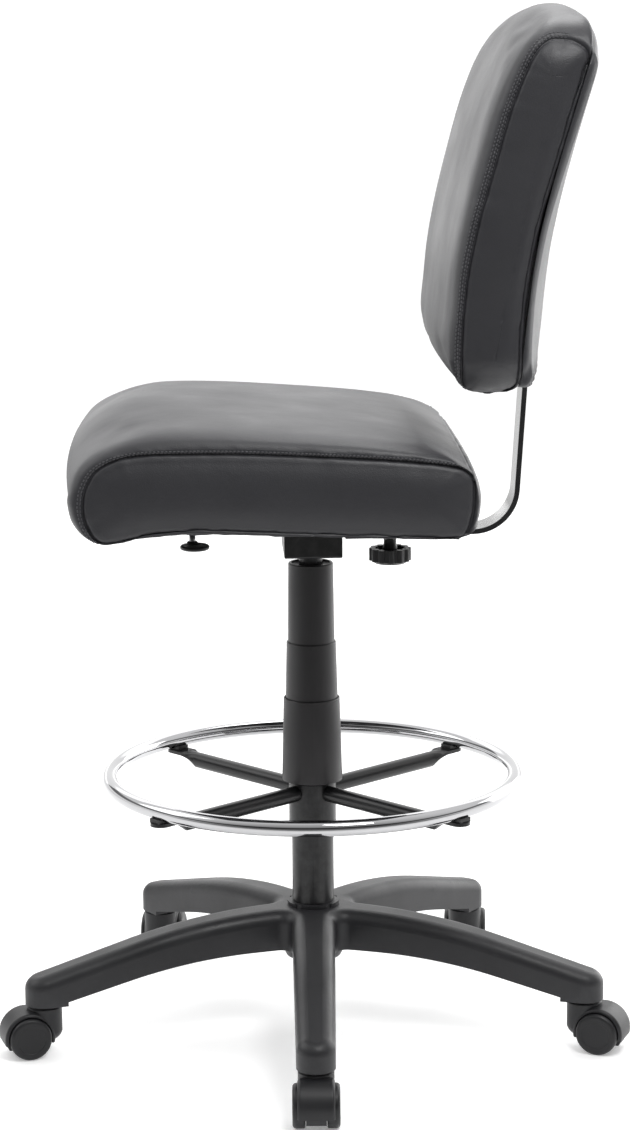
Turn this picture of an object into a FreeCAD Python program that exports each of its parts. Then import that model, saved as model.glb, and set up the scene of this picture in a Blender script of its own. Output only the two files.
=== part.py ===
import FreeCAD, Part
import math
import os
import re
import Sketcher
from FreeCAD import Placement, Rotation, Vector

# Drafting chair: five-arm castor base, telescopic column with a foot ring, gas-lift seat with an
# upholstered cushion, and an upholstered back on a flat steel J-shaped bar.
# Millimetres, +Z up. The origin is on the floor under the column; the sitter faces -Y and the
# sitter's left is +X.

os.makedirs("parts", exist_ok=True)
doc = FreeCAD.newDocument("drafting_chair")
sheet = doc.addObject("Spreadsheet::Sheet", "Sizes")

# Driving dimensions: alias, value.
SIZES = (
    # five-arm base
    ("arm_count", 5), ("base_turn", -2.05), ("base_radius", 334.6),
    ("arm_tip_radius", 22.2), ("arm_root_half", 25.8), ("arm_tip_bottom", 60.7),
    ("arm_top", 149), ("arm_top_flat", 42), ("arm_top_bend", 740), ("arm_top_slope", 14.8),
    ("arm_under", 102), ("arm_under_flat", 85), ("arm_under_bend", 640), ("arm_under_slope", 13.6),
    ("arm_boss_start", 311.5), ("arm_edge_round", 15), ("arm_wall", 4), ("rib_half", 1.6),
    ("hub_radius", 31), ("hub_top", 153.4), ("hub_bottom", 86), ("arm_crotch_round", 14),
    ("hub_ease", 2), ("hub_flare", 8), ("arm_root_start", 27),
    ("rib_1", 52), ("rib_2", 112), ("rib_3", 172), ("rib_4", 232), ("rib_5", 298),
    ("rib_lift", 1), ("rib_ceiling", 6), ("cell_ceiling", 8),
    ("socket_radius", 7), ("socket_depth", 29), ("socket_cap", 1),
    # castors
    ("wheel_radius", 25), ("wheel_inner", 12), ("wheel_outer", 26.6), ("wheel_rim_round", 4.5),
    ("axle_radius", 3), ("axle_half", 25.2), ("trail", 21.6), ("stem_radius", 5.5),
    ("stem_top", 88), ("hood_radius", 30), ("hood_half", 21), ("hood_lip", 18),
    ("web_half", 11.4), ("web_bottom", 10), ("neck_top", 58.2), ("neck_front", 20.5),
    ("well_radius", 26.4), ("run_gap", 0.05),
    ("tyre_depth", 4), ("tyre_step", 0.2), ("tyre_ease", 1), ("dish_rim", 8), ("dish_slope", 0.6),
    ("dish_depth", 0.4), ("dish_floor", 1.2), ("hood_round", 4), ("neck_foot", 12.5),
    ("neck_flare", 14), ("neck_flare_top", 28), ("neck_ease", 1), ("web_inset", 2),
    ("web_front", 0.8), ("web_front_top", 33), ("stem_hole", 14), ("pin_ease", 1),
    # column and gas lift
    ("column_radius", 25), ("column_wall", 2), ("column_top", 432),
    ("cylinder_radius", 14), ("cylinder_wall", 1.5), ("cylinder_bottom", 232),
    ("taper_start", 586), ("cylinder_top", 618), ("taper_drop", 0.9),
    ("rod_radius", 5), ("rod_top", 256), ("rod_bottom", 79), ("valve_radius", 4),
    ("valve_top", 620.6), ("valve_depth", 8), ("valve_ease", 1), ("foot_lip", 1), ("foot_floor", 4),
    ("bushing_length", 80), ("bushing_lip", 3), ("bearing_width", 8), ("bearing_height", 6),
    ("slide_gap", 0.3), ("rod_collar", 4), ("piston_height", 12), ("clip_rise", 2.5),
    ("clip_thick", 2), ("clip_width", 6), ("cylinder_ease", 1), ("cylinder_cap", 18),
    ("cylinder_floor", 6),
    # telescopic covers
    ("cover_wall", 1.2),
    ("low_bottom", 304), ("low_top", 404), ("low_radius_bottom", 36), ("low_radius_top", 33.4),
    ("mid_bottom", 386), ("mid_top", 472), ("mid_radius_bottom", 31.5), ("mid_radius_top", 29.4),
    ("cap_bottom", 452), ("cap_top", 567), ("cap_radius_bottom", 28), ("cap_radius_top", 26.6),
    ("cover_ease", 1), ("cover_draft", 0.7), ("cap_step", 3.4), ("roof_drop", 1.5),
    # foot ring
    ("ring_radius", 241.4), ("ring_tube", 9.3), ("ring_height", 309), ("ring_turn", -3.3),
    ("spoke_half_angle", 45), ("spoke_radius", 9.5), ("spoke_height", 289.5),
    ("spoke_tab_half", 12), ("spoke_tab_thick", 4), ("spoke_tab_start", 222), ("spoke_reach", 254),
    ("collar_radius", 28.2), ("collar_bottom", 240), ("collar_top", 301),
    ("ring_knob_radius", 17), ("ring_knob_height", 262), ("ring_stud_radius", 4),
    ("ring_stud_length", 14), ("ring_stud_reach", 6), ("ring_knob_depth", 12), ("knob_gap", 0.2),
    ("boss_radius", 9), ("boss_length", 5), ("boss_sink", 1), ("spoke_tube_end", 203.4),
    ("spoke_sink", 0.6), ("saddle_floor", 2), ("saddle_length", 20), ("saddle_width", 16),
    ("saddle_height", 5), ("screw_radius", 5), ("screw_height", 2), ("screw_round", 1.4),
    # seat mechanism
    ("box_half_x", 48), ("box_front", -32.5), ("box_back", 35.5), ("box_bottom", 580),
    ("box_top", 641), ("sheet_steel", 2.5), ("plate_half_x", 95), ("plate_front", -75),
    ("plate_back", 150), ("plate_thick", 3), ("bolt_x", 75), ("bolt_front", -58),
    ("bolt_back", 135), ("bolt_radius", 3.2), ("armrest_x", 198), ("armrest_front", -94),
    ("armrest_back", 6), ("box_round", 2.5), ("socket_wall", 6), ("socket_drop", 4),
    ("lever_room", 2), ("plate_corner", 14), ("nut_barrel", 4.4), ("nut_flange", 9),
    ("nut_flange_thick", 1.5), ("bolt_head", 6.5), ("bolt_head_thick", 4), ("bolt_head_bevel", 1.2),
    ("bolt_play", 0.2), ("bolt_short", 1),
    ("lever_height", 624.5), ("lever_radius", 3.5), ("lever_pivot_x", 38),
    ("lever_crank_x", 76), ("lever_reach", 62), ("lever_end_x", 172), ("lever_end_y", -139.5),
    ("lever_bend", 16), ("lever_rise", 8), ("lever_end_bend", 5), ("lever_end_drop", 4),
    ("lever_pin_radius", 2.5), ("paddle_half_x", 18), ("paddle_half_y", 16.5),
    ("paddle_thick", 5), ("paddle_offset", 11), ("paddle_drop", 5.5), ("paddle_neck", 2.5),
    ("paddle_neck_radius", 6.4), ("paddle_side", 2.5), ("paddle_round", 2.25),
    ("paddle_neck_round", 2.5), ("lever_tail", 4), ("eye_radius", 6), ("eye_width", 10),
    # back bar and its guide
    ("bar_half", 25), ("bar_thick", 6), ("bar_bottom", 602), ("bar_front", 60),
    ("bar_bend", 55), ("bar_bend_y", 190), ("bar_lean", 3.9), ("bar_top", 962),
    ("guide_front", 40), ("guide_back", 150), ("depth_knob_y", 94), ("depth_travel", 20),
    ("knob_radius", 23.3), ("knob_top", 583), ("knob_bottom", 565), ("stud_radius", 4),
    ("stud_past", 8), ("slot_play", 0.4), ("clamp_width", 30), ("clamp_length", 24),
    ("clamp_thick", 6), ("knob_slant", 5), ("knob_ease", 1), ("knob_bevel", 3), ("knob_rim", 4),
    ("knob_wall", 2), ("knob_recess", 5), ("knob_neck", 11), ("lobe_radius", 4.2), ("lobe_inset", 2.6),
    # seat
    ("pan_half", 226), ("pan_thick", 12),
    ("pan_bevel", 10), ("pan_corner", 30), ("cloth_thick", 0.6), ("cloth_inset", 12),
    ("cloth_gap", 1), ("cloth_hole", 6), ("foam_gap", 0.2),
    ("seat_half", 247), ("seat_front", -262), ("seat_back", 172), ("seat_bow", 29),
    ("seat_bottom", 640.5), ("seat_crown", 773), ("seat_corner", 48), ("seat_edge_round", 36),
    # back
    ("back_half", 222), ("back_bottom", 785), ("back_top", 1216), ("back_corner", 70),
    ("back_plane", 224), ("board_thick", 10), ("back_bend_start", 820), ("back_bend", 700),
    ("back_slope", 17.4), ("sleeve_bottom", 836), ("sleeve_top", 940),
    ("ear_bolt_x", 39), ("ear_bolt_low", 862), ("ear_bolt_high", 914), ("back_bolt_radius", 3.2),
    ("back_rear_drop", 18), ("back_foot", 52), ("back_foot_bulge", 100), ("back_round", 60),
    ("back_crown", 30), ("back_brow", 12), ("back_brow_drop", 36), ("back_brow_bulge", 720),
    ("back_belly", 84), ("back_belly_rise", 136), ("back_belly_bulge", 300), ("back_chin", 78),
    ("back_chin_rise", 40), ("board_low", 14), ("board_high", 44), ("board_inset", 18),
    ("board_gap", 0.3), ("ear_gap", 0.9), ("ear_lean", 0.099), ("ear_inset", 10), ("ear_thick", 4),
    ("ear_edge", 9), ("sleeve_wall", 3), ("washer_gap", 0.4), ("back_bolt_head", 5.5),
    ("back_bolt_head_thick", 3), ("back_bolt_play", 0.1), ("back_bolt_length", 15),
    # rear cover of the back
    ("cover_inset", 6), ("cover_low", 8), ("cover_high", 22), ("cover_corner", 60),
    ("cover_top_depth", 115), ("cover_top_drop", 36), ("cover_upper_depth", 88),
    ("cover_upper_rise", 300), ("cover_upper_bend", 670), ("cover_lower_depth", 55),
    ("cover_lower_rise", 148), ("cover_lower_bend", 1250), ("cover_foot_depth", 36),
    ("recess_front", 5), ("recess_foot", 33), ("recess_top", 46.5), ("recess_side", 5),
    ("ear_room_foot", 30), ("ear_room_top", 34), ("ear_room_inset", 6), ("ear_room_side", 12),
    # how far cutting shapes reach past a piece, and right through it
    ("cut_past", 20), ("cut_through", 1200),
)
NAMES = {name for name, number in SIZES}
for row, (name, number) in enumerate(SIZES, start=1):
    sheet.set("A%d" % row, name)
    sheet.set("B%d" % row, str(number))
    sheet.setAlias("B%d" % row, name)
doc.recompute()

NODES = []


def formula(text):
    """The same formula, with each size name pointed at the sheet."""
    return re.sub(r"[a-z]\w*", lambda word: "Sizes." + word[0] if word[0] in NAMES else word[0], text)


def size(text):
    """The value of a formula written in size names."""
    return float(sheet.evalExpression(formula(text)))


def node(item):
    """Counts an object as one of the chair's sub-parts."""
    NODES.append(item)
    return item


def new_body(label):
    return doc.addObject("PartDesign::Body", label)


def origin_feature(body, role):
    return next(item for item in body.Origin.OriginFeatures if item.Role == role)


def new_sketch(body, role, lift=None):
    """A sketch on one of the body's own origin planes, lifted off it by a formula."""
    sketch = body.newObject("Sketcher::SketchObject", body.Label + "_sketch")
    sketch.AttachmentSupport = (origin_feature(body, role), [""])
    sketch.MapMode = "FlatFace"
    if lift:
        sketch.setExpression("AttachmentOffset.Base.z", formula(lift))
    return sketch


def pin_point(sketch, geometry, point, corner):
    """Binds one point of the sketch to a pair of formulas."""
    for kind, text in zip(("DistanceX", "DistanceY"), corner):
        rule = Sketcher.Constraint(kind, -1, 1, geometry, point, size(text))
        sketch.setExpression("Constraints[%d]" % sketch.addConstraint(rule), formula(text))


def arc_between(start, end, radius):
    """The short arc from start to end; a positive radius turns left, so it bulges to the right."""
    middle = (start + end) / 2
    half = (end - start) / 2
    reach = math.sqrt(max(radius * radius - half.Length ** 2, 0))
    left = Vector(-half.y, half.x, 0).normalize()
    centre = middle + left * (reach if radius > 0 else -reach)
    ring = Part.Circle(centre, Vector(0, 0, 1), abs(radius))
    way = (start, end) if radius > 0 else (end, start)
    low, high = (math.atan2(point.y - centre.y, point.x - centre.x) for point in way)
    return Part.ArcOfCircle(ring, low, high if high > low else high + 2 * math.pi)


def outline(sketch, corners):
    """A closed outline. A corner is (x, y), or (x, y, radius) where an arc leaves it."""
    points = [Vector(size(corner[0]), size(corner[1]), 0) for corner in corners]
    first = sketch.GeometryCount
    ends = []
    for index, corner in enumerate(corners):
        start = points[index]
        end = points[(index + 1) % len(points)]
        if len(corner) == 2:
            sketch.addGeometry(Part.LineSegment(start, end))
            ends.append((1, 2))
            continue
        radius = size(corner[2])
        sketch.addGeometry(arc_between(start, end, radius))
        ends.append((1, 2) if radius > 0 else (2, 1))
    for index, corner in enumerate(corners):
        after = (index + 1) % len(corners)
        rule = Sketcher.Constraint("Coincident", first + index, ends[index][1], first + after, ends[after][0])
        sketch.addConstraint(rule)
        pin_point(sketch, first + index, ends[index][0], corner)
        if len(corner) == 3:
            bind_arc(sketch, first + index, corner, corners[after])


def bind_arc(sketch, arc, start, end):
    """Binds an arc's radius, or the middle of a half circle, whose ends leave its radius settled."""
    radius = abs(size(start[2]))
    across, up = (size(end[axis]) - size(start[axis]) for axis in (0, 1))
    if math.hypot(across, up) < 1.999 * radius:
        number = sketch.addConstraint(Sketcher.Constraint("Radius", arc, radius))
        sketch.setExpression("Constraints[%d]" % number, formula("abs(%s)" % start[2]))
        return
    axis, kind = (1, "DistanceY") if abs(across) > abs(up) else (0, "DistanceX")
    middle = "((%s) + (%s)) / 2" % (start[axis], end[axis])
    number = sketch.addConstraint(Sketcher.Constraint(kind, -1, 1, arc, 3, size(middle)))
    sketch.setExpression("Constraints[%d]" % number, formula(middle))


def circle(sketch, x, y, radius):
    """A circle whose centre and radius are formulas."""
    shape = Part.Circle(Vector(size(x), size(y), 0), Vector(0, 0, 1), size(radius))
    number = sketch.addGeometry(shape)
    pin_point(sketch, number, 3, (x, y))
    rule = sketch.addConstraint(Sketcher.Constraint("Radius", number, size(radius)))
    sketch.setExpression("Constraints[%d]" % rule, formula(radius))


def feature(body, kind, profile):
    item = body.newObject("PartDesign::" + kind, "%s_%s" % (body.Label, kind.lower()))
    item.Profile = profile
    return item


def pad(body, sketch, length, both_ways=False, reversed_way=False):
    item = feature(body, "Pad", sketch)
    item.setExpression("Length", formula(length))
    item.SideType = "Symmetric" if both_ways else "One side"
    item.Reversed = reversed_way
    return item


def remove(body, kind, sketch, length="360", both_ways=False, reversed_way=False):
    """A Pocket or a Groove, which has to take material away."""
    doc.recompute()
    before = body.Shape.Volume
    item = feature(body, kind, sketch)
    if kind == "Groove":
        item.ReferenceAxis = (sketch, ["V_Axis"])
        item.Angle = 360
    else:
        item.setExpression("Length", formula(length))
        item.SideType = "Symmetric" if both_ways else "One side"
        item.Reversed = reversed_way
    doc.recompute()
    if body.Shape.Volume > before - 0.01:
        raise RuntimeError(item.Label + " cuts nothing")
    return item


def revolve(body, corners, sketch=None):
    """A solid of revolution about the body's Z axis, from an outline of (radius, height)."""
    if sketch is None:
        sketch = new_sketch(body, "XZ_Plane")
        outline(sketch, corners)
    item = feature(body, "Revolution", sketch)
    item.ReferenceAxis = (sketch, ["V_Axis"])
    item.Angle = 360
    return item


def turned(label, corners):
    """A sub-part that is one solid of revolution."""
    body = new_body(label)
    revolve(body, corners)
    return node(body)


def around(body, originals, count="arm_count"):
    """Repeats features about the body's Z axis."""
    item = body.newObject("PartDesign::PolarPattern", body.Label + "_pattern")
    item.Originals = originals
    item.Axis = (origin_feature(body, "Z_Axis"), [""])
    item.Angle = 360
    item.setExpression("Occurrences", formula(count))
    body.Tip = item
    return item


def edges_where(shape, test):
    """Names of the edges whose start, middle and end all pass a test."""
    names = []
    for number, edge in enumerate(shape.Edges, start=1):
        low, high = edge.ParameterRange
        points = [edge.valueAt(low), edge.valueAt((low + high) / 2), edge.valueAt(high)]
        if all(test(point) for point in points):
            names.append("Edge%d" % number)
    return names


def round_edges(body, test, amount, kind="Fillet"):
    """Rounds or bevels every edge of the body's last feature that passes the test."""
    doc.recompute()
    tip = body.Tip
    names = edges_where(tip.Shape, test)
    if not names:
        raise RuntimeError("no edge to round on " + body.Label)
    item = body.newObject("PartDesign::" + kind, "%s_%s" % (body.Label, kind.lower()))
    item.Base = (tip, names)
    item.setExpression("Radius" if kind == "Fillet" else "Size", formula(amount))
    doc.recompute()
    return item


def near(value, target, room=0.05):
    return abs(value - target) < room


def fixed_shape(label, shape):
    """A sub-part whose shape is made by Part functions from sizes in the sheet."""
    item = doc.addObject("Part::Feature", label)
    item.Shape = shape
    return node(item)


# ---------------------------------------------------------------- five-arm base

def arm_curves():
    """End heights and radii of the arm's curved top and underside."""
    curves = {}
    for side in ("top", "under"):
        start = "arm_%s_flat" % side
        bend = "arm_%s_bend" % side
        slope = "arm_%s_slope" % side
        height = "arm_%s" % side
        curves[side] = (
            "(%s + %s * sin(%s))" % (start, bend, slope),
            "(%s - %s * (1 - cos(%s)))" % (height, bend, slope),
        )
    return curves


def along_slope(side, radius):
    """Height of the arm's straight outer stretch at a radius."""
    bend_radius, bend_height = arm_curves()[side]
    return "(%s - (%s - %s) * tan(arm_%s_slope))" % (bend_height, radius, bend_radius, side)


def make_base():
    body = new_body("star_base")
    curves = arm_curves()
    hub = new_sketch(body, "XZ_Plane")
    outline(hub, [
        ("column_radius", "hub_bottom"), ("hub_radius + hub_ease", "hub_bottom"),
        ("hub_radius + hub_flare", "arm_under"), ("hub_radius + hub_flare", "arm_top - 2 * hub_ease"),
        ("hub_radius", "arm_top - hub_ease"), ("hub_radius - hub_ease", "hub_top"),
        ("column_radius", "hub_top"),
    ])
    revolve(body, None, hub)

    plan = new_sketch(body, "XY_Plane", "arm_tip_bottom")
    lean = "((arm_root_half - arm_tip_radius) / base_radius)"
    tip_x = "(base_radius + arm_tip_radius * %s)" % lean
    tip_y = "(arm_tip_radius * (1 - %s ^ 2 / 2))" % lean
    outline(plan, [
        ("arm_root_start", "-arm_root_half"), (tip_x, "-" + tip_y, "arm_tip_radius"),
        (tip_x, tip_y), ("arm_root_start", "arm_root_half"),
    ])
    arm = pad(body, plan, "hub_top - arm_tip_bottom")
    around(body, [arm])

    above = new_sketch(body, "XZ_Plane")
    outline(above, [
        ("hub_radius", "arm_top"), ("arm_top_flat", "arm_top", "-arm_top_bend"),
        curves["top"], ("base_radius + 2 * cut_past", along_slope("top", "(base_radius + 2 * cut_past)")),
        ("base_radius + 2 * cut_past", "hub_top + cut_past"), ("hub_radius", "hub_top + cut_past"),
    ])
    remove(body, "Groove", above)
    below = new_sketch(body, "XZ_Plane")
    outline(below, [
        ("hub_radius + hub_flare + hub_ease", "arm_under"), ("hub_radius + hub_ease", "hub_bottom"),
        ("column_radius - hub_ease", "hub_bottom"), ("column_radius - hub_ease", "arm_tip_bottom - cut_past"),
        ("arm_boss_start", "arm_tip_bottom - cut_past"),
        ("arm_boss_start", along_slope("under", "arm_boss_start")),
        (curves["under"][0], curves["under"][1], "arm_under_bend"),
        ("arm_under_flat", "arm_under"),
    ])
    remove(body, "Groove", below)

    def crotch(point):
        radius = math.hypot(point.x, point.y)
        inner, outer = size("hub_radius + 2 * hub_ease"), size("hub_radius + 2 * cut_past")
        return inner < radius < outer and point.z > size("arm_under")

    doc.recompute()
    upright = []
    for number, edge in enumerate(body.Tip.Shape.Edges, start=1):
        ends = [vertex.Point for vertex in edge.Vertexes]
        if len(ends) == 2 and all(crotch(point) for point in ends):
            if math.hypot(ends[0].x - ends[1].x, ends[0].y - ends[1].y) < 0.5:
                upright.append("Edge%d" % number)
    tip = body.Tip
    corner = body.newObject("PartDesign::Fillet", "star_base_crotch")
    corner.Base = (tip, upright)
    corner.setExpression("Radius", formula("arm_crotch_round"))
    doc.recompute()

    bend_r, bend_z = size(curves["top"][0]), size(curves["top"][1])
    flat_r, top, bend = size("arm_top_flat"), size("arm_top"), size("arm_top_bend")
    slope = math.tan(math.radians(size("arm_top_slope")))

    def top_height(radius):
        if radius < flat_r:
            return top
        if radius < bend_r:
            return top - bend + math.sqrt(bend ** 2 - (radius - flat_r) ** 2)
        return bend_z - (radius - bend_r) * slope

    def on_top_edge(point):
        radius = math.hypot(point.x, point.y)
        return radius > size("hub_radius + 2 * hub_ease") and near(point.z, top_height(radius), 0.3)

    round_edges(body, on_top_edge, "arm_edge_round")

    cells = new_sketch(body, "XZ_Plane")
    stations = [size("rib_%d" % number) for number in range(1, 6)]
    for inner, outer in zip(stations[:-1], stations[1:]):
        left, right = inner + size("rib_half"), outer - size("rib_half")
        ceiling = [str(top_height(radius) - size("cell_ceiling")) for radius in (left, right)]
        outline(cells, [
            (str(left), "arm_tip_bottom - cut_past"), (str(right), "arm_tip_bottom - cut_past"),
            (str(right), ceiling[1]), (str(left), ceiling[0]),
        ])
    hollow = remove(body, "Pocket", cells, "2 * (arm_tip_radius - arm_wall)", both_ways=True)
    around(body, [hollow])
    doc.recompute()

    rib = new_sketch(body, "XZ_Plane")
    outline(rib, [
        ("rib_1 - arm_wall", "arm_under + rib_lift"), ("arm_under_flat", "arm_under + rib_lift"),
        ("arm_boss_start + arm_wall", along_slope("under", "arm_boss_start") + " + rib_lift"),
        ("arm_boss_start + arm_wall", along_slope("top", "arm_boss_start") + " - rib_ceiling"),
        (curves["top"][0], curves["top"][1] + " - rib_ceiling"),
        ("arm_top_flat + rib_ceiling", "arm_top - rib_ceiling"),
    ])
    spine = pad(body, rib, "2 * rib_half", both_ways=True)
    around(body, [spine])
    doc.recompute()

    sockets = new_sketch(body, "XY_Plane", "arm_tip_bottom")
    circle(sockets, "base_radius", "0", "socket_radius")
    drill = remove(body, "Pocket", sockets, "socket_depth", reversed_way=True)
    around(body, [drill])
    doc.recompute()
    body.Placement = Placement(Vector(), spin(size("base_turn")))
    return node(body)


def polar(radius, degrees, height=0.0):
    angle = math.radians(degrees)
    return Vector(radius * math.cos(angle), radius * math.sin(angle), height)


def spin(degrees):
    return Rotation(Vector(0, 0, 1), degrees)


def make_sockets():
    """Steel sleeves in the arm ends that the castor stems turn in."""
    inner, outer = size("stem_radius + run_gap"), size("socket_radius")
    bottom, depth = size("arm_tip_bottom"), size("socket_depth")
    sleeves = []
    for arm in range(int(size("arm_count"))):
        foot = polar(size("base_radius"), size("base_turn") + arm * 360 / size("arm_count"), bottom)
        hole = Part.makeCylinder(inner, depth - size("socket_cap"), foot)
        sleeves.append(Part.makeCylinder(outer, depth, foot).cut(hole))
    return fixed_shape("caster_sockets", Part.makeCompound(sleeves))


# ---------------------------------------------------------------- castors
# Each castor is drawn with its stem on the Z axis and its wheels trailing towards +X.

# Castor name and the direction in which it trails, in degrees from +X.
CASTORS = (("front", -2.3), ("right", 66.1), ("rear_right", 173.7), ("rear_left", 168.7), ("left", -75.3))


def make_hood(label, place):
    """A hood over both wheels, a round neck under the arm and a web between the wheels."""
    body = new_body(label)
    shell = new_sketch(body, "XZ_Plane")
    run = "sqrt(hood_radius^2 - (wheel_radius - hood_lip)^2)"
    outline(shell, [
        ("trail - " + run, "hood_lip"), ("trail + " + run, "hood_lip", "hood_radius"),
        ("trail", "wheel_radius + hood_radius", "hood_radius"),
    ])
    pad(body, shell, "2 * hood_half", both_ways=True)

    def rim(point):
        from_axle = math.hypot(point.x - size("trail"), point.z - size("wheel_radius"))
        return near(abs(point.y), size("hood_half")) and near(from_axle, size("hood_radius"))

    round_edges(body, rim, "hood_round")
    revolve(body, [
        ("0", "hood_lip"), ("neck_foot", "hood_lip", "neck_flare"), ("neck_front", "neck_flare_top"),
        ("neck_front", "neck_top - neck_ease"), ("neck_front - neck_ease", "neck_top"), ("0", "neck_top"),
    ])
    for way in (False, True):
        well = new_sketch(body, "XZ_Plane", "web_half" if way else "0 - web_half")
        circle(well, "trail", "wheel_radius", "well_radius")
        remove(body, "Pocket", well, "hood_half", reversed_way=way)
    web = new_sketch(body, "XZ_Plane")
    drop = "(wheel_radius - web_bottom)"
    reach = "sqrt((hood_radius - web_inset)^2 - %s^2)" % drop
    front = "trail - %s * web_front" % reach
    outline(web, [
        (front, "web_bottom"), ("trail + " + reach, "web_bottom", "hood_radius - web_inset"),
        ("trail", "wheel_radius + hood_radius - web_inset"), (front, "web_front_top"),
    ])
    pad(body, web, "2 * web_half", both_ways=True)
    bore = new_sketch(body, "XZ_Plane")
    circle(bore, "trail", "wheel_radius", "axle_radius")
    remove(body, "Pocket", bore, "2 * hood_half + cut_past", both_ways=True)
    stem_hole = new_sketch(body, "XY_Plane", "neck_top")
    circle(stem_hole, "0", "0", "stem_radius")
    remove(body, "Pocket", stem_hole, "stem_hole")
    body.Placement = place
    return node(body)


def make_castor_pins(label, place):
    """The stem and the axle of one castor: two separate steel pins."""
    stem_foot = size("neck_top - stem_hole")
    stem = Part.makeCylinder(size("stem_radius"), size("stem_top") - stem_foot, Vector(0, 0, stem_foot))
    tip = [edge for edge in stem.Edges if near(edge.BoundBox.ZMin, size("stem_top"))]
    stem = stem.makeChamfer(size("pin_ease"), tip)
    foot = Vector(size("trail"), -size("axle_half"), size("wheel_radius"))
    axle = Part.makeCylinder(size("axle_radius"), 2 * size("axle_half"), foot, Vector(0, 1, 0))
    item = fixed_shape(label, Part.makeCompound([stem, axle]))
    item.Placement = place
    return item


def make_wheel(label, place, side):
    """A wheel turned about its own Z axis, then laid on the axle; side is +1 or -1 along the axle."""
    body = new_body(label)
    revolve(body, [
        ("axle_radius + run_gap", "wheel_inner"), ("wheel_radius - tyre_depth", "wheel_inner"),
        ("wheel_radius - tyre_depth", "wheel_inner + tyre_step"),
        ("wheel_radius - tyre_ease", "wheel_inner + tyre_step"),
        ("wheel_radius", "wheel_inner + tyre_step + tyre_ease"),
        ("wheel_radius", "wheel_outer - wheel_rim_round", "wheel_rim_round"),
        ("wheel_radius - wheel_rim_round", "wheel_outer"), ("wheel_radius - dish_rim", "wheel_outer"),
        ("wheel_radius - dish_rim - dish_slope", "wheel_outer - dish_depth"),
        ("0", "wheel_outer - dish_depth"), ("0", "wheel_outer - dish_floor"),
        ("axle_radius + run_gap", "wheel_outer - dish_floor"),
    ])
    flip = Rotation(Vector(1, 0, 0), -90 * side)
    body.Placement = place.multiply(Placement(Vector(size("trail"), 0, size("wheel_radius")), flip))
    return node(body)


def make_castors():
    for arm, (name, trail_turn) in enumerate(CASTORS):
        foot = polar(size("base_radius"), size("base_turn") + arm * 360 / size("arm_count"))
        place = Placement(foot, spin(trail_turn))
        make_hood("caster_hood_" + name, place)
        make_castor_pins("caster_pins_" + name, place)
        make_wheel("caster_wheel_%s_a" % name, place, 1)
        make_wheel("caster_wheel_%s_b" % name, place, -1)


# ---------------------------------------------------------------- column and gas lift

def make_column():
    turned("column_tube", [
        ("rod_radius + run_gap", "hub_bottom - foot_lip"), ("column_radius", "hub_bottom - foot_lip"),
        ("column_radius", "column_top"), ("column_radius - column_wall", "column_top"),
        ("column_radius - column_wall", "hub_bottom + foot_floor"),
        ("rod_radius + run_gap", "hub_bottom + foot_floor"),
    ])
    inner = "cylinder_radius + run_gap"
    bore = "column_radius - column_wall"
    bearing_top = "hub_bottom + foot_floor + bearing_height"
    turned("column_bushing", [
        (inner, "column_top - bushing_length"), (bore, "column_top - bushing_length"), (bore, "column_top"),
        ("column_radius", "column_top"), ("column_radius", "column_top + bushing_lip"),
        (inner, "column_top + bushing_lip"),
    ])
    turned("thrust_bearing", [
        ("rod_radius + run_gap", "hub_bottom + foot_floor"),
        ("rod_radius + bearing_width", "hub_bottom + foot_floor"),
        ("rod_radius + bearing_width", bearing_top), ("rod_radius + run_gap", bearing_top),
    ])
    turned("piston_rod", [
        ("0", "rod_bottom"), ("rod_radius", "rod_bottom"), ("rod_radius", bearing_top + " + slide_gap"),
        ("rod_radius + rod_collar", bearing_top + " + slide_gap"),
        ("rod_radius + rod_collar", bearing_top + " + rod_collar"),
        ("rod_radius", bearing_top + " + rod_collar"), ("rod_radius", "rod_top - piston_height"),
        ("cylinder_radius - cylinder_wall - run_gap", "rod_top - piston_height"),
        ("cylinder_radius - cylinder_wall - run_gap", "rod_top"), ("0", "rod_top"),
    ])
    turned("rod_clip", [
        ("rod_radius", "rod_bottom + clip_rise"), ("rod_radius + clip_width", "rod_bottom + clip_rise"),
        ("rod_radius + clip_width", "rod_bottom + clip_rise + clip_thick"),
        ("rod_radius", "rod_bottom + clip_rise + clip_thick"),
    ])
    bore = "cylinder_radius - cylinder_wall"
    turned("gas_cylinder", [
        ("rod_radius + run_gap", "cylinder_bottom"), ("cylinder_radius - cylinder_ease", "cylinder_bottom"),
        ("cylinder_radius", "cylinder_bottom + 2 * cylinder_ease"), ("cylinder_radius", "taper_start"),
        ("cylinder_radius - taper_drop", "cylinder_top"), ("valve_radius + run_gap", "cylinder_top"),
        ("valve_radius + run_gap", "cylinder_top - cylinder_cap"), (bore, "cylinder_top - cylinder_cap"),
        (bore, "cylinder_bottom + cylinder_floor"),
        ("rod_radius + run_gap", "cylinder_bottom + cylinder_floor"),
    ])
    turned("release_button", [
        ("0", "cylinder_top - valve_depth"), ("valve_radius", "cylinder_top - valve_depth"),
        ("valve_radius", "valve_top - valve_ease"), ("valve_radius - valve_ease", "valve_top"),
        ("0", "valve_top"),
    ])


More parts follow.
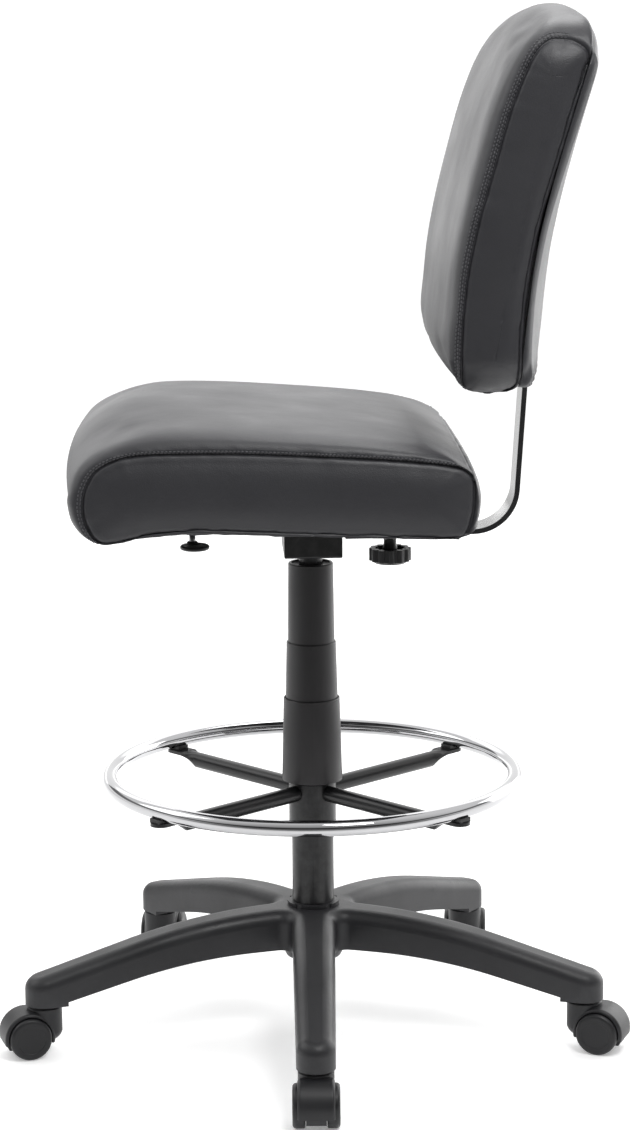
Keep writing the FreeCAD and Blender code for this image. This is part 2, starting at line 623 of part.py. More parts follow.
def make_covers():
    """Three plastic sleeves that slide into each other; the top one has a roof round the lift."""
    wall = "cover_wall"
    turned("cover_lower", [
        ("low_radius_bottom - " + wall, "low_bottom"), ("low_radius_bottom", "low_bottom"),
        ("low_radius_top", "low_top - cover_ease"), ("low_radius_top - cover_draft", "low_top"),
        ("low_radius_top - " + wall, "low_top"),
    ])
    turned("cover_middle", [
        ("mid_radius_bottom - " + wall, "mid_bottom"), ("mid_radius_bottom", "mid_bottom"),
        ("mid_radius_top", "mid_top - cover_ease"), ("mid_radius_top - cover_draft", "mid_top"),
        ("mid_radius_top - " + wall, "mid_top"),
    ])
    turned("cover_top", [
        ("cap_radius_bottom - " + wall, "cap_bottom"), ("cap_radius_bottom", "cap_bottom"),
        ("cap_radius_top", "cap_top - cover_ease"), ("cap_radius_top - cover_ease", "cap_top"),
        ("cap_radius_top - cap_step", "cap_top"), ("cap_radius_top - cap_step", "cap_top - roof_drop"),
        ("cylinder_radius", "cap_top - 2 * roof_drop"), ("cylinder_radius", "cap_top - 3 * roof_drop"),
        ("cap_radius_top - " + wall, "cap_top - 3 * roof_drop"),
    ])


# ---------------------------------------------------------------- foot ring

def make_foot_ring():
    ring = doc.addObject("Part::Torus", "foot_ring")
    ring.setExpression("Radius1", formula("ring_radius"))
    ring.setExpression("Radius2", formula("ring_tube"))
    ring.Placement = Placement(Vector(0, 0, size("ring_height")), Rotation())
    node(ring)

    collar = new_body("foot_ring_hub")
    revolve(collar, [
        ("column_radius + slide_gap", "collar_bottom"), ("collar_radius", "collar_bottom"),
        ("collar_radius", "collar_top"), ("column_radius + slide_gap", "collar_top"),
    ])
    boss = new_sketch(collar, "YZ_Plane", "0 - collar_radius - boss_length")
    circle(boss, "0", "ring_knob_height", "boss_radius")
    pad(collar, boss, "boss_length + boss_sink")
    hole = new_sketch(collar, "YZ_Plane", "0 - collar_radius - boss_length - boss_sink")
    circle(hole, "0", "ring_knob_height", "ring_stud_radius + run_gap")
    remove(collar, "Pocket", hole, "2 * (boss_length + boss_sink)", reversed_way=True)
    node(collar)

    side, reach = size("spoke_tab_half"), size("spoke_reach")
    tube_end, tab_start = size("spoke_tube_end"), size("spoke_tab_start")
    thick, level = size("spoke_tab_thick"), size("spoke_height")
    under = size("ring_height - ring_tube - saddle_floor") - thick
    middle, tube_radius = size("ring_radius"), size("spoke_radius")
    root = Vector(size("collar_radius - spoke_sink"), 0, level)
    tube = Part.makeCylinder(tube_radius, tube_end - root.x, root, Vector(1, 0, 0))
    round_end = Part.Wire(Part.makeCircle(tube_radius, Vector(tube_end, 0, level), Vector(1, 0, 0)))
    flat_end = Part.makePolygon([
        Vector(tab_start, y, z) for y, z in (
            (-side, under), (side, under), (side, under + thick), (-side, under + thick), (-side, under),
        )
    ])
    blend = Part.makeLoft([round_end, flat_end], True, True)
    tab = Part.makeBox(reach - side - tab_start, 2 * side, thick, Vector(tab_start, -side, under))
    nose = Part.makeCylinder(side, thick, Vector(reach - side, 0, under))
    arm = tube.fuse([blend, tab, nose]).removeSplitter()
    collar_room = Part.makeCylinder(size("collar_radius"), size("collar_top - collar_bottom"),
                                    Vector(0, 0, size("collar_bottom")))
    arm = arm.cut(collar_room)
    saddle = Part.makeBox(size("saddle_length"), size("saddle_width"), size("saddle_height"),
                          Vector(middle - size("saddle_length") / 2, -size("saddle_width") / 2,
                                 under + thick))
    saddle = saddle.cut(Part.makeTorus(middle, size("ring_tube"), Vector(0, 0, size("ring_height"))))
    screw_foot = Vector(middle, 0, under - size("screw_height"))
    screw = Part.makeCylinder(size("screw_radius"), size("screw_height"), screw_foot)
    screw = screw.makeFillet(size("screw_round"),
                             [edge for edge in screw.Edges if near(edge.BoundBox.ZMax, screw_foot.z)])
    arms, saddles, screws = [], [], []
    half = size("spoke_half_angle")
    for turn in (half, 180 - half, 180 + half, -half):
        way = Placement(Vector(), spin(size("ring_turn") + turn)).toMatrix()
        for piece, group in ((arm, arms), (saddle, saddles), (screw, screws)):
            group.append(piece.transformed(way))
    fixed_shape("foot_ring_spokes", Part.makeCompound(arms))
    fixed_shape("foot_ring_saddles", Part.makeCompound(saddles))
    fixed_shape("foot_ring_screws", Part.makeCompound(screws))


def make_knob(label, lobes, radius, depth, neck, place):
    """A hand knob turned about Z with grip lobes round its rim; its face is at the bottom."""
    body = new_body(label)
    revolve(body, [
        ("0", "0"), (radius + " - knob_slant", "0"), (radius + " - knob_ease", "knob_bevel"),
        (radius + " - knob_ease", depth), (radius + " - knob_rim", depth),
        (radius + " - knob_rim - knob_wall", depth + " - knob_recess"),
        (neck + " + knob_wall", depth + " - knob_recess"),
        (neck, depth + " + knob_recess + knob_ease"),
        (neck, depth + " + knob_neck"), ("0", depth + " + knob_neck"),
    ])
    lobe = new_sketch(body, "XY_Plane", "knob_bevel")
    circle(lobe, radius + " - lobe_inset", "0", "lobe_radius")
    grip = pad(body, lobe, depth + " - knob_bevel")
    around(body, [grip], lobes)
    doc.recompute()
    body.Placement = place
    return node(body)


def make_ring_knob():
    """The foot ring's clamp knob, behind the column."""
    level = size("ring_knob_height")
    out = size("collar_radius + boss_length + ring_stud_reach")
    stud = Part.makeCylinder(size("ring_stud_radius"), size("ring_stud_length"),
                             Vector(-out, 0, level), Vector(1, 0, 0))
    fixed_shape("foot_ring_stud", stud)
    turn = Rotation(Vector(0, 1, 0), 90)
    face = out + size("knob_gap + ring_knob_depth + knob_neck")
    make_knob("foot_ring_knob", "6", "ring_knob_radius", "ring_knob_depth", "ring_stud_radius + 3",
              Placement(Vector(-face, 0, level), turn))


# ---------------------------------------------------------------- seat mechanism

def make_mechanism():
    box = new_body("mechanism_housing")
    base = new_sketch(box, "XY_Plane", "box_bottom")
    outline(base, [
        ("0 - box_half_x", "box_front"), ("box_half_x", "box_front"),
        ("box_half_x", "box_back"), ("0 - box_half_x", "box_back"),
    ])
    pad(box, base, "box_top - box_bottom")
    round_edges(box, lambda point: near(point.z, size("box_bottom")), "box_round")
    inside = new_sketch(box, "XY_Plane", "box_bottom + sheet_steel")
    outline(inside, [
        ("sheet_steel - box_half_x", "box_front + sheet_steel"),
        ("box_half_x - sheet_steel", "box_front + sheet_steel"),
        ("box_half_x - sheet_steel", "box_back - sheet_steel"),
        ("sheet_steel - box_half_x", "box_back - sheet_steel"),
    ])
    remove(box, "Pocket", inside, "box_top - box_bottom", reversed_way=True)
    lift_hole = new_sketch(box, "XY_Plane", "box_bottom")
    circle(lift_hole, "0", "0", "cylinder_radius + socket_wall")
    remove(box, "Pocket", lift_hole, "sheet_steel", reversed_way=True)
    rod_hole = new_sketch(box, "YZ_Plane", "box_half_x - sheet_steel")
    circle(rod_hole, "0", "lever_height", "lever_radius + lever_room")
    remove(box, "Pocket", rod_hole, "sheet_steel", reversed_way=True)
    doc.recompute()
    node(box)

    taper = "taper_drop * (cylinder_top - socket_drop - taper_start) / (cylinder_top - taper_start)"
    turned("taper_socket", [
        ("cylinder_radius", "box_bottom"), ("cylinder_radius + socket_wall", "box_bottom"),
        ("cylinder_radius + socket_wall", "cylinder_top - socket_drop"),
        ("cylinder_radius - " + taper, "cylinder_top - socket_drop"),
        ("cylinder_radius", "taper_start"),
    ])

    plate = new_body("seat_plate")
    top = new_sketch(plate, "XY_Plane", "box_top")
    outline(top, [
        ("0 - plate_half_x", "plate_front"), ("plate_half_x", "plate_front"),
        ("plate_half_x", "plate_back"), ("0 - plate_half_x", "plate_back"),
    ])
    pad(plate, top, "plate_thick")
    corner = lambda point: near(abs(point.x), size("plate_half_x")) and (
        near(point.y, size("plate_front")) or near(point.y, size("plate_back")))
    round_edges(plate, corner, "plate_corner")
    holes = new_sketch(plate, "XY_Plane", "box_top")
    for x in ("0 - bolt_x", "bolt_x"):
        for y in ("bolt_front", "bolt_back"):
            circle(holes, x, y, "bolt_radius")
    remove(plate, "Pocket", holes, "plate_thick", reversed_way=True)
    node(plate)

    level, pan_top = size("box_top"), size("box_top + plate_thick + pan_thick")
    head_thick = size("bolt_head_thick")
    bolts, nuts = [], []
    for number, (x, y) in enumerate((size(x), size(y)) for x, y in pan_holes()):
        barrel = Part.makeCylinder(size("nut_barrel"), size("pan_thick"),
                                   Vector(x, y, level + size("plate_thick")))
        flange = Part.makeCylinder(size("nut_flange"), size("nut_flange_thick"), Vector(x, y, pan_top))
        hole = Part.makeCylinder(size("bolt_radius"), size("2 * cut_past"), Vector(x, y, level))
        nuts.append(barrel.fuse(flange).cut(hole).removeSplitter())
        if number < 4:
            head = Part.makeCylinder(size("bolt_head"), head_thick, Vector(x, y, level - head_thick))
            lip = [edge for edge in head.Edges if near(edge.BoundBox.ZMax, level - head_thick)]
            head = head.makeChamfer(size("bolt_head_bevel"), lip)
            shank = Part.makeCylinder(size("bolt_radius - bolt_play"), pan_top - level - size("bolt_short"),
                                      Vector(x, y, level))
            bolts.append(head.fuse(shank).removeSplitter())
    fixed_shape("seat_bolts", Part.makeCompound(bolts))
    fixed_shape("seat_tee_nuts", Part.makeCompound(nuts))


def rounded_path(points, radii):
    """A wire of straight runs with a tangent arc at each corner."""
    edges = []
    start = points[0]
    for before, corner, after, radius in zip(points[:-2], points[1:-1], points[2:], radii):
        back = (before - corner).normalize()
        ahead = (after - corner).normalize()
        half_turn = (math.pi - back.getAngle(ahead)) / 2
        reach = radius * math.tan(half_turn)
        bisector = (back + ahead).normalize()
        crown = corner + bisector * (radius / math.cos(half_turn) - radius)
        enter, leave = corner + back * reach, corner + ahead * reach
        edges.append(Part.makeLine(start, enter))
        edges.append(Part.Arc(enter, crown, leave).toShape())
        start = leave
    edges.append(Part.makeLine(start, points[-1]))
    return Part.Wire(edges)


def make_lever():
    """The height lever: a cranked rod over the valve, its pivot pin, and an oval paddle
    moulded on the rod's end."""
    level = size("lever_height")
    end = Vector(size("lever_end_x"), size("lever_end_y"), level - size("lever_end_drop"))
    points = [
        Vector(-size("lever_tail"), 0, level), Vector(size("lever_crank_x"), 0, level),
        Vector(end.x - size("lever_reach"), end.y, level),
        Vector(end.x, end.y, level + size("lever_rise")), end,
    ]
    bend = size("lever_bend")
    path = rounded_path(points, (bend, bend, size("lever_end_bend")))
    section = Part.Wire(Part.makeCircle(size("lever_radius"), points[0], Vector(1, 0, 0)))
    rod = path.makePipeShell([section], True, True)
    pivot = Vector(size("lever_pivot_x"), 0, level)
    along_y = Vector(0, 1, 0)
    eye = Part.makeCylinder(size("eye_radius"), size("eye_width"),
                            pivot - along_y * size("eye_width / 2"), along_y)
    pin_radius = size("lever_pin_radius")
    pin_room = Part.makeCylinder(pin_radius + size("run_gap"), size("cut_past"),
                                 pivot - along_y * size("cut_past / 2"), along_y)
    fixed_shape("lever_rod", rod.fuse(eye).cut(pin_room).removeSplitter())

    span = size("box_back - box_front - 2 * sheet_steel")
    foot = Vector(pivot.x, size("box_front + sheet_steel"), level)
    fixed_shape("lever_pivot", Part.makeCylinder(pin_radius, span, foot, along_y))

    under = Vector(end.x, end.y, level - size("paddle_drop"))
    middle = under + Vector(size("paddle_offset"), size("paddle_side"), 0)
    rim = Part.Wire(Part.Ellipse(middle, size("paddle_half_x"), size("paddle_half_y")).toShape())
    disc = Part.Face(rim).extrude(Vector(0, 0, size("paddle_thick")))
    half_round = math.pi * size("paddle_half_y")
    disc = disc.makeFillet(size("paddle_round"), [edge for edge in disc.Edges if edge.Length > half_round])
    height = size("paddle_thick + paddle_neck")
    neck = Part.makeCylinder(size("paddle_neck_radius"), height, under)
    neck = neck.makeFillet(size("paddle_neck_round"),
                           [edge for edge in neck.Edges if near(edge.BoundBox.ZMin, under.z + height)])
    fixed_shape("lever_paddle", disc.fuse(neck).cut(rod).removeSplitter())


# ---------------------------------------------------------------- back bar and its guide

def make_back_bar():
    body = new_body("j_bar")
    lean = size("bar_lean")
    outer, thick = size("bar_bend"), size("bar_thick")
    inner = outer - thick
    centre_y, centre_z = size("bar_bend_y"), size("bar_bottom") + outer
    across, along = math.cos(math.radians(lean)), math.sin(math.radians(lean))
    rise = (size("bar_top") - centre_z + outer * along) / across

    def on_bend(radius, run):
        """A point beyond the bend, on its inner or outer face."""
        y = centre_y + radius * across + run * along
        return (str(y), str(centre_z - radius * along + run * across))

    profile = new_sketch(body, "YZ_Plane")
    outline(profile, [
        ("bar_front", "bar_bottom"), ("bar_bend_y", "bar_bottom", "bar_bend"),
        on_bend(outer, 0), on_bend(outer, rise), on_bend(inner, rise),
        on_bend(inner, 0) + ("bar_thick - bar_bend",),
        ("bar_bend_y", "bar_bottom + bar_thick"), ("bar_front", "bar_bottom + bar_thick"),
    ])
    pad(body, profile, "2 * bar_half", both_ways=True)
    slot = new_sketch(body, "XY_Plane", "bar_bottom")
    half = "stud_radius + slot_play"
    low, high = "depth_knob_y - depth_travel", "depth_knob_y + depth_travel"
    outline(slot, [
        ("0 - (%s)" % half, low, half), (half, low), (half, high, half), ("0 - (%s)" % half, high),
    ])
    remove(body, "Pocket", slot, "bar_thick", reversed_way=True)
    node(body)

    guide = new_body("back_guide")
    section = new_sketch(guide, "XZ_Plane", "0 - guide_front")
    side = "bar_half + slide_gap"
    floor = "bar_bottom - slide_gap"
    outer, under = side + " + sheet_steel", floor + " - sheet_steel"
    outline(section, [
        ("0 - (%s)" % outer, "box_top"), ("0 - (%s)" % outer, under), (outer, under), (outer, "box_top"),
        (side, "box_top"), (side, floor), ("0 - (%s)" % side, floor), ("0 - (%s)" % side, "box_top"),
    ])
    pad(guide, section, "guide_back - guide_front", reversed_way=True)
    stud_hole = new_sketch(guide, "XY_Plane", under)
    circle(stud_hole, "0", "depth_knob_y", "stud_radius + run_gap")
    remove(guide, "Pocket", stud_hole, "sheet_steel", reversed_way=True)
    node(guide)

    top, knob_y = size("bar_bottom + bar_thick"), size("depth_knob_y")
    width, length = size("clamp_width"), size("clamp_length")
    nut = Part.makeBox(width, length, size("clamp_thick"),
                       Vector(-width / 2, knob_y - length / 2, top + size("slide_gap")))
    bore = Part.makeCylinder(size("stud_radius + run_gap"), size("cut_past"), Vector(0, knob_y, top))
    fixed_shape("clamp_nut", nut.cut(bore))
    foot = Vector(0, knob_y, size("knob_top + knob_neck"))
    stud = Part.makeCylinder(size("stud_radius"), top + size("stud_past") - foot.z, foot)
    fixed_shape("depth_stud", stud)
    make_knob("depth_knob", "12", "knob_radius", "knob_top - knob_bottom", "stud_radius + 3.5",
              Placement(Vector(0, knob_y, size("knob_bottom")), Rotation()))


# ---------------------------------------------------------------- seat

def plan_outline(half, front, back, bow):
    """Plan of the seat: straight-ish sides, with bowed front and back edges."""
    width = "(%s)" % half
    front_bend = "((%s^2 + %s^2) / (2 * %s))" % (width, bow, bow)
    return [
        ("0 - " + width, back), ("0 - " + width, front, front_bend), (width, front),
        (width, back, front_bend),
    ]


def pan_holes():
    """Holes in the seat pan: four for the mechanism, then two on each side for armrests."""
    mechanism = [(x, y) for x in ("0 - bolt_x", "bolt_x") for y in ("bolt_front", "bolt_back")]
    armrests = [(x, y) for x in ("0 - armrest_x", "armrest_x") for y in ("armrest_front", "armrest_back")]
    return mechanism + armrests


def make_seat():
    inset = "(seat_half - pan_half)"
    pan = new_body("seat_pan")
    board = new_sketch(pan, "XY_Plane", "box_top + plate_thick")
    outline(board, plan_outline("pan_half", "seat_front + " + inset, "seat_back - " + inset, "seat_bow"))
    pad(pan, board, "pan_thick")
    upright = lambda point: near(abs(point.x), size("pan_half"))
    round_edges(pan, lambda point: upright(point) and not near(point.y, 0, 120), "pan_corner")
    underside = lambda point: near(point.z, size("box_top + plate_thick"))
    round_edges(pan, lambda point: upright(point) and underside(point), "pan_bevel", "Chamfer")
    holes = new_sketch(pan, "XY_Plane", "box_top + plate_thick")
    for x, y in pan_holes():
        circle(holes, x, y, "nut_barrel")
    remove(pan, "Pocket", holes, "pan_thick", reversed_way=True)
    node(pan)

    skin = new_body("seat_dust_cover")
    sheet_plan = new_sketch(skin, "XY_Plane", "box_top + plate_thick - cloth_thick")
    edge = "(%s + cloth_inset)" % inset
    outline(sheet_plan, plan_outline("pan_half - cloth_inset", "seat_front + " + edge,
                                     "seat_back - " + edge, "seat_bow"))
    outline(sheet_plan, [
        ("0 - plate_half_x - cloth_gap", "plate_front - cloth_gap"),
        ("plate_half_x + cloth_gap", "plate_front - cloth_gap"),
        ("plate_half_x + cloth_gap", "plate_back + cloth_gap"),
        ("0 - plate_half_x - cloth_gap", "plate_back + cloth_gap"),
    ])
    for x, y in pan_holes()[4:]:
        circle(sheet_plan, x, y, "cloth_hole")
    pad(skin, sheet_plan, "cloth_thick")
    node(skin)

    cushion = new_body("seat_cushion")
    shape = new_sketch(cushion, "XY_Plane", "seat_bottom")
    outline(shape, plan_outline("seat_half", "seat_front", "seat_back", "seat_bow"))
    pad(cushion, shape, "seat_crown - seat_bottom")
    side = lambda point: near(abs(point.x), size("seat_half")) and not near(point.y, 0, 120)
    round_edges(cushion, side, "seat_corner")
    round_edges(cushion, lambda point: near(point.z, size("seat_crown")), "seat_edge_round")
    recess = new_sketch(cushion, "XY_Plane", "seat_bottom")
    outline(recess, plan_outline("(pan_half + foam_gap)", "seat_front + %s - foam_gap" % inset,
                                 "seat_back - %s + foam_gap" % inset, "seat_bow"))
    pan_top = "box_top + plate_thick + pan_thick"
    remove(cushion, "Pocket", recess, pan_top + " + nut_flange_thick + foam_gap - seat_bottom",
           reversed_way=True)
    node(cushion)


# ---------------------------------------------------------------- back

def rear_curve(offset, low, high):
    """Side view of the back's seam plane, moved back by an offset: a plumb run, an arc and a slope."""
    bend_top = "(back_bend_start + (back_bend - (%s)) * sin(back_slope))" % offset
    bend_y = "(back_plane + %s + (back_bend - (%s)) * (1 - cos(back_slope)))" % (offset, offset)
    slope_y = "(%s + (%s - %s) * tan(back_slope))" % (bend_y, high, bend_top)
    start = "(back_plane + %s)" % offset
    return [(start, low), (start, "back_bend_start", "(%s) - back_bend" % offset), (bend_y, bend_top),
            (slope_y, high)]


def front_view(body, half, low, high, corner):
    """Cuts the corners off a solid drawn in side view, so that it is a rounded rectangle from the front."""
    sketch = new_sketch(body, "XZ_Plane")
    far, under, over = "(%s + 3 * cut_past)" % half, low + " - 3 * cut_past", high + " + 3 * cut_past"
    outline(sketch, [("0 - " + far, under), (far, under), (far, over), ("0 - " + far, over)])
    outline(sketch, [
        ("0 - %s + %s" % (half, corner), low), ("%s - %s" % (half, corner), low, corner),
        (half, "%s + %s" % (low, corner)), (half, "%s - %s" % (high, corner), corner),
        ("%s - %s" % (half, corner), high), ("%s - %s" % (corner, half), high, corner),
        ("0 - " + half, "%s - %s" % (high, corner)), ("0 - " + half, "%s + %s" % (low, corner), corner),
    ])
    return remove(body, "Pocket", sketch, "cut_through", both_ways=True)


def make_back():
    cushion = new_body("back_cushion")
    side = new_sketch(cushion, "YZ_Plane")
    rear = rear_curve("0", "back_bottom", "back_top - back_rear_drop")
    outline(side, [
        ("back_plane - back_foot", "back_bottom", "back_foot_bulge"),
        rear[0], rear[1], rear[2], rear[3] + ("back_round",),
        ("back_plane + back_crown", "back_top", "back_round"),
        ("back_plane - back_brow", "back_top - back_brow_drop", "back_brow_bulge"),
        ("back_plane - back_belly", "back_bottom + back_belly_rise", "back_belly_bulge"),
        ("back_plane - back_chin", "back_bottom + back_chin_rise", "back_round"),
    ])
    pad(cushion, side, "2 * back_half", both_ways=True)
    front_view(cushion, "back_half", "back_bottom", "back_top", "back_corner")
    node(cushion)

    board = new_body("back_board")
    low, high = "(back_bottom + board_low)", "(back_top - board_high)"
    side = new_sketch(board, "YZ_Plane")
    outline(side, curved_sheet("board_gap", "(board_thick + board_gap)", low, high))
    pad(board, side, "2 * (back_half - board_inset)", both_ways=True)
    front_view(board, "(back_half - board_inset)", low, high, "(back_corner - board_inset)")
    holes = new_sketch(board, "XZ_Plane")
    for x, z in back_bolts():
        circle(holes, x, z, "back_bolt_radius")
    remove(board, "Pocket", holes, "cut_through", both_ways=True)
    node(board)
    make_back_sleeve()
    make_rear_pad(low, high)


def curved_sheet(near_face, far_face, low, high):
    """Side view of a sheet that follows the back's seam plane, between two offsets."""
    front = rear_curve(near_face, low, high)
    rear = rear_curve(far_face, low, high)
    return front + [rear[3], rear[2] + ("back_bend - %s" % far_face,), rear[1][:2], rear[0]]


def back_bolts():
    """Places, seen from the front, of the bolts that hold the sleeve to the board."""
    return [(x, z) for x in ("0 - ear_bolt_x", "ear_bolt_x") for z in ("ear_bolt_low", "ear_bolt_high")]


def make_back_sleeve():
    """The moulded sleeve on the board's back that slides on the bar, with an ear on each side."""
    body = new_body("back_sleeve")
    ear_y, ear_lean = size("back_plane + board_thick + ear_gap"), size("ear_lean")
    low, high = size("sleeve_bottom"), size("sleeve_top")
    gap, wall = size("slide_gap"), size("sleeve_wall")

    def ear_face(height, depth):
        return str(ear_y + depth + (height - low) * ear_lean), str(height)

    lean = math.tan(math.radians(size("bar_lean")))
    centre = size("bar_bottom + bar_bend")
    rear_face = size("bar_bend_y") + size("bar_bend") / math.cos(math.radians(size("bar_lean")))

    def bar_face(height, depth):
        return str(rear_face + (height - centre) * lean + depth), str(height)

    block = new_sketch(body, "YZ_Plane")
    outline(block, [ear_face(low, 0), bar_face(low, wall), bar_face(high, wall), ear_face(high, 0)])
    pad(body, block, "2 * (bar_half + sleeve_wall + slide_gap)", both_ways=True)
    ears = new_sketch(body, "YZ_Plane")
    foot, head, ear = low + size("ear_inset"), high - size("ear_inset"), size("ear_thick")
    outline(ears, [ear_face(foot, 0), ear_face(foot, ear), ear_face(head, ear), ear_face(head, 0)])
    pad(body, ears, "2 * (ear_bolt_x + ear_edge)", both_ways=True)
    front = -size("bar_thick") - 2 * gap
    under, over = low - size("cut_past"), high + size("cut_past")
    room = new_sketch(body, "YZ_Plane")
    outline(room, [bar_face(under, front), bar_face(under, gap), bar_face(over, gap), bar_face(over, front)])
    remove(body, "Pocket", room, "2 * (bar_half + slide_gap)", both_ways=True)
    holes = new_sketch(body, "XZ_Plane")
    for x, z in back_bolts():
        circle(holes, x, z, "back_bolt_radius")
    remove(body, "Pocket", holes, "cut_through", both_ways=True)
    node(body)

    length, away = size("back_bolt_length"), Vector(0, 1, 0)
    bolts = []
    for x, z in back_bolts():
        seat_y = ear_y + ear + (size(z) - low) * ear_lean + size("washer_gap")
        seat = Vector(size(x), seat_y, size(z))
        head = Part.makeCylinder(size("back_bolt_head"), size("back_bolt_head_thick"), seat, away)
        shank = Part.makeCylinder(size("back_bolt_radius - back_bolt_play"), length,
                                  seat - away * length, away)
        bolts.append(head.fuse(shank).removeSplitter())
    fixed_shape("back_bolts", Part.makeCompound(bolts))


def make_rear_pad(board_low, board_high):
    """The upholstered rear cover, hollow behind the board where the bar and its sleeve are."""
    body = new_body("back_rear_pad")
    side = new_sketch(body, "YZ_Plane")
    low, high = "(back_bottom + cover_low)", "(back_top - cover_high)"
    half = "(back_half - cover_inset)"
    outline(side, rear_curve("board_gap", low, high) + [
        ("back_plane + cover_top_depth", "back_top - cover_top_drop"),
        ("back_plane + cover_upper_depth", "back_bottom + cover_upper_rise", "cover_upper_bend"),
        ("back_plane + cover_lower_depth", "back_bottom + cover_lower_rise", "0 - cover_lower_bend"),
        ("back_plane + cover_foot_depth", low),
    ])
    pad(body, side, "2 * " + half, both_ways=True)
    front_view(body, half, low, high, "cover_corner")
    recess = new_sketch(body, "YZ_Plane")
    outline(recess, curved_sheet("(0 - 10 * board_gap)", "(board_thick + board_gap + foam_gap)",
                                 board_low + " - board_gap", board_high + " + board_gap"))
    remove(body, "Pocket", recess, "2 * (back_half - board_inset + board_gap)", both_ways=True)
    bar_room = new_sketch(body, "YZ_Plane")
    outline(bar_room, [
        ("back_plane + recess_front", "back_bottom - cut_past"),
        ("back_plane + recess_foot", "back_bottom - cut_past"),
        ("back_plane + recess_top", "bar_top + cut_past"),
        ("back_plane + recess_front", "bar_top + cut_past"),
    ])
    remove(body, "Pocket", bar_room, "2 * (bar_half + recess_side)", both_ways=True)
    ear_room = new_sketch(body, "YZ_Plane")
    outline(ear_room, [
        ("back_plane + recess_front", "sleeve_bottom + ear_room_inset"),
        ("back_plane + ear_room_foot", "sleeve_bottom + ear_room_inset"),
        ("back_plane + ear_room_top", "sleeve_top - ear_room_inset"),
        ("back_plane + recess_front", "sleeve_top - ear_room_inset"),
    ])
    remove(body, "Pocket", ear_room, "2 * (ear_bolt_x + ear_room_side)", both_ways=True)
    node(body)


make_base()
make_sockets()
make_castors()
make_column()
make_covers()
make_foot_ring()
make_ring_knob()
make_mechanism()
make_lever()
make_back_bar()
make_seat()
make_back()
doc.recompute()

faults = []
for item in doc.Objects:
    if "Invalid" in item.State or "Error" in item.State:
        faults.append("%s: %s" % (item.Label, item.State))
for item in NODES:
    if item.Shape.isNull() or not item.Shape.isValid():
        faults.append(item.Label + ": bad shape")
if faults:
    raise RuntimeError("; ".join(faults))
for old in os.listdir("parts"):
    os.remove(os.path.join("parts", old))
for item in NODES:
    item.Shape.exportStep("parts/%s.step" % item.Label)
print("%d nodes written" % len(NODES))
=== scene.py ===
import math

import bmesh
import bpy
import numpy as np
from mathutils import Matrix, Vector


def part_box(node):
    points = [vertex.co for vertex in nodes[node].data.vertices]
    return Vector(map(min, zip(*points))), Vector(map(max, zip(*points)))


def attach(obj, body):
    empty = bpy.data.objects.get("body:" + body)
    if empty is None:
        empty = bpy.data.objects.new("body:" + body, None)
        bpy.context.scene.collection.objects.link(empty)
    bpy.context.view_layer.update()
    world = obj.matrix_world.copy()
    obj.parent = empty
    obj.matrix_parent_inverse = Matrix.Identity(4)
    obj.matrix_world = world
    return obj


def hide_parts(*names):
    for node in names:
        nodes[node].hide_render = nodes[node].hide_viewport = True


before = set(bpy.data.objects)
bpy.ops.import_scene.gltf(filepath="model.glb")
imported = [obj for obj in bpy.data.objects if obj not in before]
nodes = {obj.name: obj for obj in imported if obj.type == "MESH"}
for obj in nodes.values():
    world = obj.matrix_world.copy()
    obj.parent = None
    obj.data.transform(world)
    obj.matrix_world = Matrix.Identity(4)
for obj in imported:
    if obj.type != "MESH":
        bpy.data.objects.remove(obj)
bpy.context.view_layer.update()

MM = 0.001
SEAM_DEPTH, SEAM_WIDTH, SEAM_RIM = 0.003, 0.0017, 0.0008
GATHER_DEPTH, GATHER_REACH, GATHER_WAVE = 0.0011, 0.012, 0.03
CASTORS = ("front", "right", "rear_right", "rear_left", "left")


# ---------------------------------------------------------------- camera, light and floor

CAMERA_PLACE = (3.7062, -0.1489, 1.2851)
CAMERA_HEADING = math.radians(177.61)
CAMERA_PITCH = math.radians(11.011)
CAMERA_ROLL = math.radians(-0.449)
SENSOR = 36.0
LENS = 101.95


# Each light's name, place, aim, size and power.
LIGHTS = (
    ("key", (-0.4, -2.8, 2.6), (0, 0, 0.6), (2.0, 2.0), 24),
    ("rear_wall", (-2.3, 3.0, 1.3), (0, 0.2, 0.9), (3.0, 2.4), 60),
    ("top", (1.3, 0.6, 2.3), (0.2, 0.25, 1.1), (0.7, 0.7), 24),
    ("crown", (-0.5, 0.3, 2.0), (0.0, 0.25, 1.1), (0.5, 0.8), 6),
    ("back_wall", (-3.2, 0.2, 1.9), (0, 0, 0.7), (5.0, 2.6), 42),
)


def make_camera():
    """The photo's camera: its place, the way it looks, and a slight roll."""
    forward = Vector((math.cos(CAMERA_PITCH) * math.cos(CAMERA_HEADING),
                      math.cos(CAMERA_PITCH) * math.sin(CAMERA_HEADING),
                      -math.sin(CAMERA_PITCH)))
    level = forward.cross(Vector((0, 0, 1))).normalized()
    upright = level.cross(forward)
    right = level * math.cos(CAMERA_ROLL) + upright * math.sin(CAMERA_ROLL)
    up = upright * math.cos(CAMERA_ROLL) - level * math.sin(CAMERA_ROLL)
    data = bpy.data.cameras.new("camera")
    data.sensor_width = SENSOR
    data.lens = LENS
    data.clip_end = 200
    camera = bpy.data.objects.new("camera", data)
    turn = Matrix((right, up, -forward)).transposed().to_4x4()
    camera.matrix_world = Matrix.Translation(CAMERA_PLACE) @ turn
    bpy.context.scene.collection.objects.link(camera)
    bpy.context.scene.camera = camera


